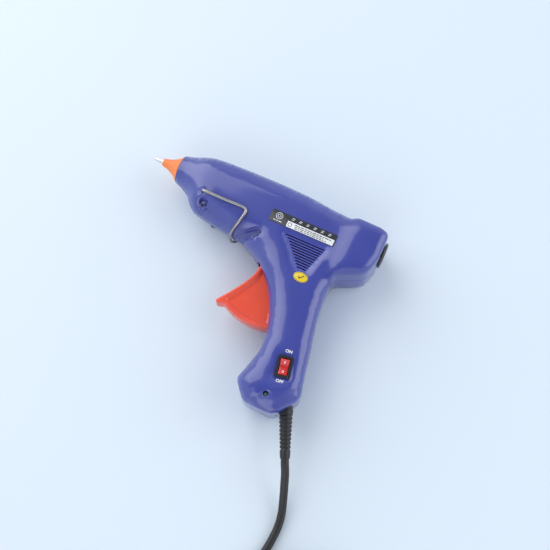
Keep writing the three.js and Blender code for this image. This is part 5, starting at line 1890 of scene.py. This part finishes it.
@dataclass
class Lead(Assembly):
    """The strain relief, the mains lead with its stored coil, and the plug."""

    radius: float = 2.75
    length: float = 1200.0
    exit: tuple[float, float] = (165.0, -127.8)
    heading: tuple[float, float] = (0.4, -0.917)
    relief_length: float = 32.0
    floor: float = -20.5
    coil_centre: tuple[float, float] = (222.0, -254.0)
    coil_mean: float = 31.0
    coil_pitch: float = 5.6
    coil_layer: float = 5.55
    coil_turns: int = 5
    coil_steps: int = 24
    plug_rear: tuple[float, float, float] = (238.0, -301.0, -13.95)

    def along(self, distance: float) -> tuple[float, float]:
        """A flat point on the line in which the lead leaves the grip.

        Args:
            distance: how far it is from the exit.

        Returns:
            The point.
        """
        size = math.hypot(*self.heading)
        return (self.exit[0] + distance * self.heading[0] / size, self.exit[1] + distance * self.heading[1] / size)

    def route(self) -> np.ndarray:
        """The lead's whole centreline, from inside the strain relief to the plug.

        Returns:
            Points along it, closely spaced.
        """
        lie = self.floor + self.radius + 0.05
        start = [
            (*self.along(-4), 0.0), (*self.along(8), 0.0), (*self.along(self.relief_length / 2), 0.0),
            (*self.along(self.relief_length + 2), -0.4), (181.4, -164.6, -3.4), (184.4, -172.2, -8.2),
            (187.4, -180.4, -12.8), (190.0, -188.4, -16.0), (191.4, -197.0, lie + 0.3), (191.2, -206.0, lie),
            (190.0, -216.0, lie), (187.8, -227.0, lie), (185.0, -239.0, lie),
        ]
        coil = self._coil(lie)
        end = [
            (198.4, -279.6, lie + 9.4), (203.6, -287.0, lie + 6.2), (210.2, -293.4, lie + 3.4),
            (218.4, -298.2, lie + 2.0), (227.4, -300.6, lie + 2.6), (238.3, -301.0, self.plug_rear[2]),
        ]
        return even_steps(spline_through([*start, *coil, *end], 6), 1.6, closed=False)

    def _coil(self, lie: float) -> list[tuple[float, float, float]]:
        """The stored turns: two side by side, three on each other.

        Args:
            lie: height of the lowest turns.

        Returns:
            Points round the turns.
        """
        outer, inner = self.coil_mean + self.coil_pitch / 2, self.coil_mean - self.coil_pitch / 2
        tracks = [(outer, 0), (inner, 0), (inner, 1), (outer, 1), (outer, 2), (outer, 2)]
        first, last = math.radians(192), math.radians(196) + 2 * math.pi * self.coil_turns
        points = []
        steps = self.coil_steps * self.coil_turns
        for i in range(steps + 1):
            angle = first + (last - first) * i / steps
            turn = (angle - first) / (2 * math.pi)
            number = min(int(turn), len(tracks) - 2)
            share = float(smoothstep(turn - number, 0.78, 1.0))
            radius = tracks[number][0] * (1 - share) + tracks[number + 1][0] * share
            layer = tracks[number][1] * (1 - share) + tracks[number + 1][1] * share
            points.append((self.coil_centre[0] + radius * math.cos(angle),
                           self.coil_centre[1] + radius * math.sin(angle), lie + layer * self.coil_layer))
        return points

    def build(self) -> None:
        """Builds and dresses the lead and what is on it."""
        relief = self._relief()
        plug = self._plug()
        route = self.drawing.place(self.route())
        curve = bpy.data.curves.new("mains_lead", "CURVE")
        curve.dimensions = "3D"
        curve.bevel_depth = self.radius * MM
        curve.bevel_resolution = 5
        curve.use_fill_caps = True
        line = curve.splines.new("POLY")
        line.points.add(len(route) - 1)
        line.points.foreach_set("co", np.column_stack([route, np.ones(len(route))]).ravel())
        line.use_smooth = True
        piece = linked("mains_lead", curve)
        self.dresser.dress(piece, LEAD_BLACK, Body.GUN, Slot.RUBBER, ["supply_lead", "cord_coil", "tail_lead"])
        exit_point = self.drawing.place([(*self.exit, 0.0)])[0]

    def _relief(self) -> bpy.types.Object:
        """The tapered strain relief with its flexing grooves.

        Returns:
            The piece.
        """
        outer = [(0.4, 4.9), (0.9, 4.9)]
        grooves, pitch, wide, narrow = 9, 2.7, 4.55, 3.55
        for i in range(grooves):
            x = 2.2 + i * pitch
            r = wide - (wide - narrow) * (i / grooves)
            outer += [(x, r), (x + 1.45, r - 0.05), (x + 1.6, r - 0.7), (x + 2.4, r - 0.72), (x + 2.55, r - 0.1)]
        outer += [(28.4, 3.5), (31.4, 3.35), (31.9, 3.2), (32.0, 2.95)]
        profile = [(-8.0, 3.05), (-8.0, 5.3), (-6.0, 5.3), (-6.0, 4.6), (0.2, 4.6), *outer]
        points, faces = turned(profile, 64)
        size = math.hypot(*self.heading)
        c, s = self.heading[0] / size, self.heading[1] / size
        placed = np.column_stack([self.exit[0] + c * points[:, 0] - s * points[:, 1],
                                  self.exit[1] + s * points[:, 0] + c * points[:, 1], points[:, 2]])
        piece = soften(self.drawing.mesh("lead_boot", placed, faces), 0.18, 2, 32)
        return self.dresser.dress(piece, LEAD_BLACK, Body.GUN, Slot.RUBBER, ["strain_relief"])

    def _plug(self) -> list[bpy.types.Object]:
        """The two-pin plug: a moulded body with grip ribs, and its pins.

        Returns:
            The pieces.
        """
        x, y, z = self.plug_rear
        pen = OutlinePen([np.array([x + 36, y + 12.5])])
        pen.line_to(x + 16, y + 12.5)
        pen.corner_to(x + 11, y + 12.2, x + 8, y + 7.6)
        pen.corner_to(x + 5, y + 4.0, x, y + 3.7)
        pen.line_to(x, y - 3.7)
        pen.corner_to(x + 5, y - 4.0, x + 8, y - 7.6)
        pen.corner_to(x + 11, y - 12.2, x + 16, y - 12.5)
        pen.line_to(x + 36, y - 12.5)
        outline = even_steps(np.array(pen.points), 0.9, closed=True)

        edge = 3.2

        def height(p: np.ndarray, depth: np.ndarray) -> np.ndarray:
            """Half the plug's thickness, with grip ribs across its middle.

            Args:
                p: flat points.
                depth: their distance from the outline.

            Returns:
                Their heights.
            """
            side = rounded_rise(3.9 + 2.5 * smoothstep(p[:, 0], x + 2, x + 14), edge, depth)
            ribs = 0.5 * (0.5 - 0.5 * np.cos((p[:, 0] - x - 15) * 2 * math.pi / 3.0))
            band = smoothstep(p[:, 0], x + 15, x + 16) * (1 - smoothstep(p[:, 0], x + 29, x + 30))
            return side - ribs * band * smoothstep(depth, 2.2, 3.4)

        relief = Relief(outline, lambda p: np.full(len(p), edge), height, closed_line(outline), pitch=0.8, rings=7,
                        ease=1)
        body = smooth(two_sided(self.drawing, "plug_moulding", relief, 2, z), 42)
        made = [self.dresser.dress(body, PLUG_BLACK, Body.GUN, Slot.RUBBER, ["plug_body"])]
        for i, side in enumerate((-1, 1)):
            py = y + side * 8.75
            sleeve = [(x + 34, 0.01), (x + 34, 2.0), (x + 45.5, 2.0), (x + 45.6, 1.85), (x + 45.6, 0.01)]
            tip = [(x + 45.7, 0.01), (x + 45.7, 2.0), (x + 53.2, 2.0), (x + 54.3, 1.7), (x + 55, 1.0), (x + 55, 0.01)]
            for kind, profile, finish, slot, nodes in (
                ("sleeve", sleeve, PLUG_BLACK, Slot.RUBBER, []),
                ("tip", tip, SHEET_BRASS, Slot.BRASS, [f"plug_pin_{i + 1}"]),
            ):
                pin_points, pin_faces = turned(profile, 28, closed=False)
                placed = pin_points + np.array([0, py, z])
                pin = weld(self.drawing.mesh(f"pin_{kind}_{i + 1}", placed, pin_faces), 0.03)
                made.append(self.dresser.dress(smooth(pin, 35), finish, Body.GUN, slot, nodes))
        return made


# ---- studio -------------------------------------------------------------------------------------------------


@dataclass
class Studio:
    """The pale floor, the soft lights and the camera."""

    position: tuple[float, float, float] = (0.11390, -0.15971, 0.59303)
    forward: tuple[float, float, float] = (-0.14343, 0.28854, -0.94666)
    up: tuple[float, float, float] = (-0.39890, 0.85856, 0.32212)
    field_degrees: float = 35.388
    floor_colour: tuple[float, float, float] = (0.72, 0.80, 0.88)
    floor_half: float = 3.0
    lights: tuple[tuple[str, tuple[float, float, float], float, float], ...] = (
        ("key", (-1.0, 0.35, 0.95), 1.5, 13.0),
        ("fill", (1.1, 0.45, 0.75), 1.1, 6.0),
        ("front", (0.1, -1.1, 0.7), 0.9, 3.0),
    )

    def camera(self) -> None:
        """Makes the camera."""
        data = bpy.data.cameras.new("camera")
        data.angle = math.radians(self.field_degrees)
        data.clip_start = 0.01
        camera = linked("camera", data)
        forward, up = Vector(self.forward).normalized(), Vector(self.up)
        right = forward.cross(up).normalized()
        upright = right.cross(forward)
        turn = Matrix((right, upright, -forward)).transposed().to_4x4()
        camera.matrix_world = Matrix.Translation(self.position) @ turn
        bpy.context.scene.camera = camera

    def surroundings(self) -> None:
        """Makes the floor, the sky and the lights."""
        data = bpy.data.meshes.new("floor")
        size = self.floor_half
        data.from_pydata([(-size, -size, 0), (size, -size, 0), (size, size, 0), (-size, size, 0)], [], [(0, 1, 2, 3)])
        floor = linked("floor", data)
        floor.data.materials.append(
            Finish("floor_paint", self.floor_colour, 0.6, shift=0.01, patch=3.0, grain=300, bump=0.02).material()
        )
        world = bpy.data.worlds.new("studio")
        bpy.context.scene.world = world
        world.use_nodes = True
        self._sky(world.node_tree)
        bpy.context.scene.view_settings.view_transform = "Standard"
        for name, place, size, power in self.lights:
            self._light(name, place, size, power)

    def _sky(self, tree: bpy.types.NodeTree) -> None:
        """A sky like a light tent's: bright low down, darker overhead.

        Args:
            tree: the world's nodes.
        """
        background = tree.nodes["Background"]
        ramp = add_node(tree, "ValToRGB")
        apart = joined(tree, add_node(tree, "TexCoord").outputs["Generated"], add_node(tree, "SeparateXYZ"), "Vector")
        joined(tree, joined(tree, apart.outputs["Z"], ramp, "Fac").outputs["Color"], background, "Color")
        stops = ramp.color_ramp.elements
        stops[0].position, stops[0].color = 0.0, (0.86, 0.93, 1.0, 1.0)
        stops[1].position, stops[1].color = 1.0, (0.20, 0.23, 0.27, 1.0)
        for position, colour in ((0.62, (0.86, 0.92, 1.0, 1.0)), (0.86, (0.25, 0.29, 0.34, 1.0))):
            stop = stops.new(position)
            stop.color = colour
        background.inputs["Strength"].default_value = 0.9

    def _light(self, name: str, place: tuple[float, float, float], size: float, power: float) -> None:
        """A square soft light that faces the gun.

        Args:
            name: its name.
            place: where it stands.
            size: its width.
            power: its power in watts.
        """
        data = bpy.data.lights.new(name, "AREA")
        data.size = size
        data.energy = power
        light = linked(name, data)
        light.location = place
        light.rotation_euler = (-Vector(place)).to_track_quat("-Z", "Y").to_euler()


FRAME_FINISHES: dict[str, Finish] = {
    "housing_screw": SCREW_STEEL, "clamp_screw": SCREW_STEEL, "melt_chamber": CAST_METAL, "mica_sheet": MICA_FLAKE,
    "electrode": SHEET_BRASS, "heater_chip": CERAMIC_GREY, "heater_wedge": CAST_METAL,
    "front_support": PHENOLIC_BROWN, "rear_support": PHENOLIC_BROWN, "feed_sleeve": SLEEVE_RED,
    "sleeve_clamp": SCREW_STEEL, "trigger_pin": SCREW_STEEL, "feed_carriage": NYLON_WHITE,
    "gripper": SCREW_STEEL, "gripper_pin": SCREW_STEEL, "return_spring": WIRE_STEEL, "led_board": BOARD_GREEN,
    "cord_clamp": NYLON_WHITE, "heater_wire": SLEEVE_RED, "switch_wire": SLEEVE_RED,
}


def finish_frame(nodes: dict[str, bpy.types.Object], dresser: Dresser) -> None:
    """Finishes the frame's own nodes, whose names end in a number where there are several alike.

    Args:
        nodes: the frame's nodes.
        dresser: who finishes them.
    """
    for name, piece in nodes.items():
        stem = name.rstrip("0123456789").rstrip("_")
        if stem in FRAME_FINISHES:
            dresser.refinish(piece, FRAME_FINISHES[stem])


def main() -> None:
    """Builds the gun round its frame, sub-assembly by sub-assembly."""
    logging.basicConfig(level=logging.INFO, format="%(name)s: %(message)s")
    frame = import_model()
    drawing = Drawing.from_frame()
    dresser = Dresser()
    studio = Studio()
    studio.camera()
    Lead(drawing, dresser).build()
    for assembly in (Casing, GluePath, Trigger, Stand, SwitchSet, Labels):
        assembly(drawing, dresser).build()
    finish_frame(frame["nodes"], dresser)
    studio.surroundings()


if __name__ == "__main__":
    main()
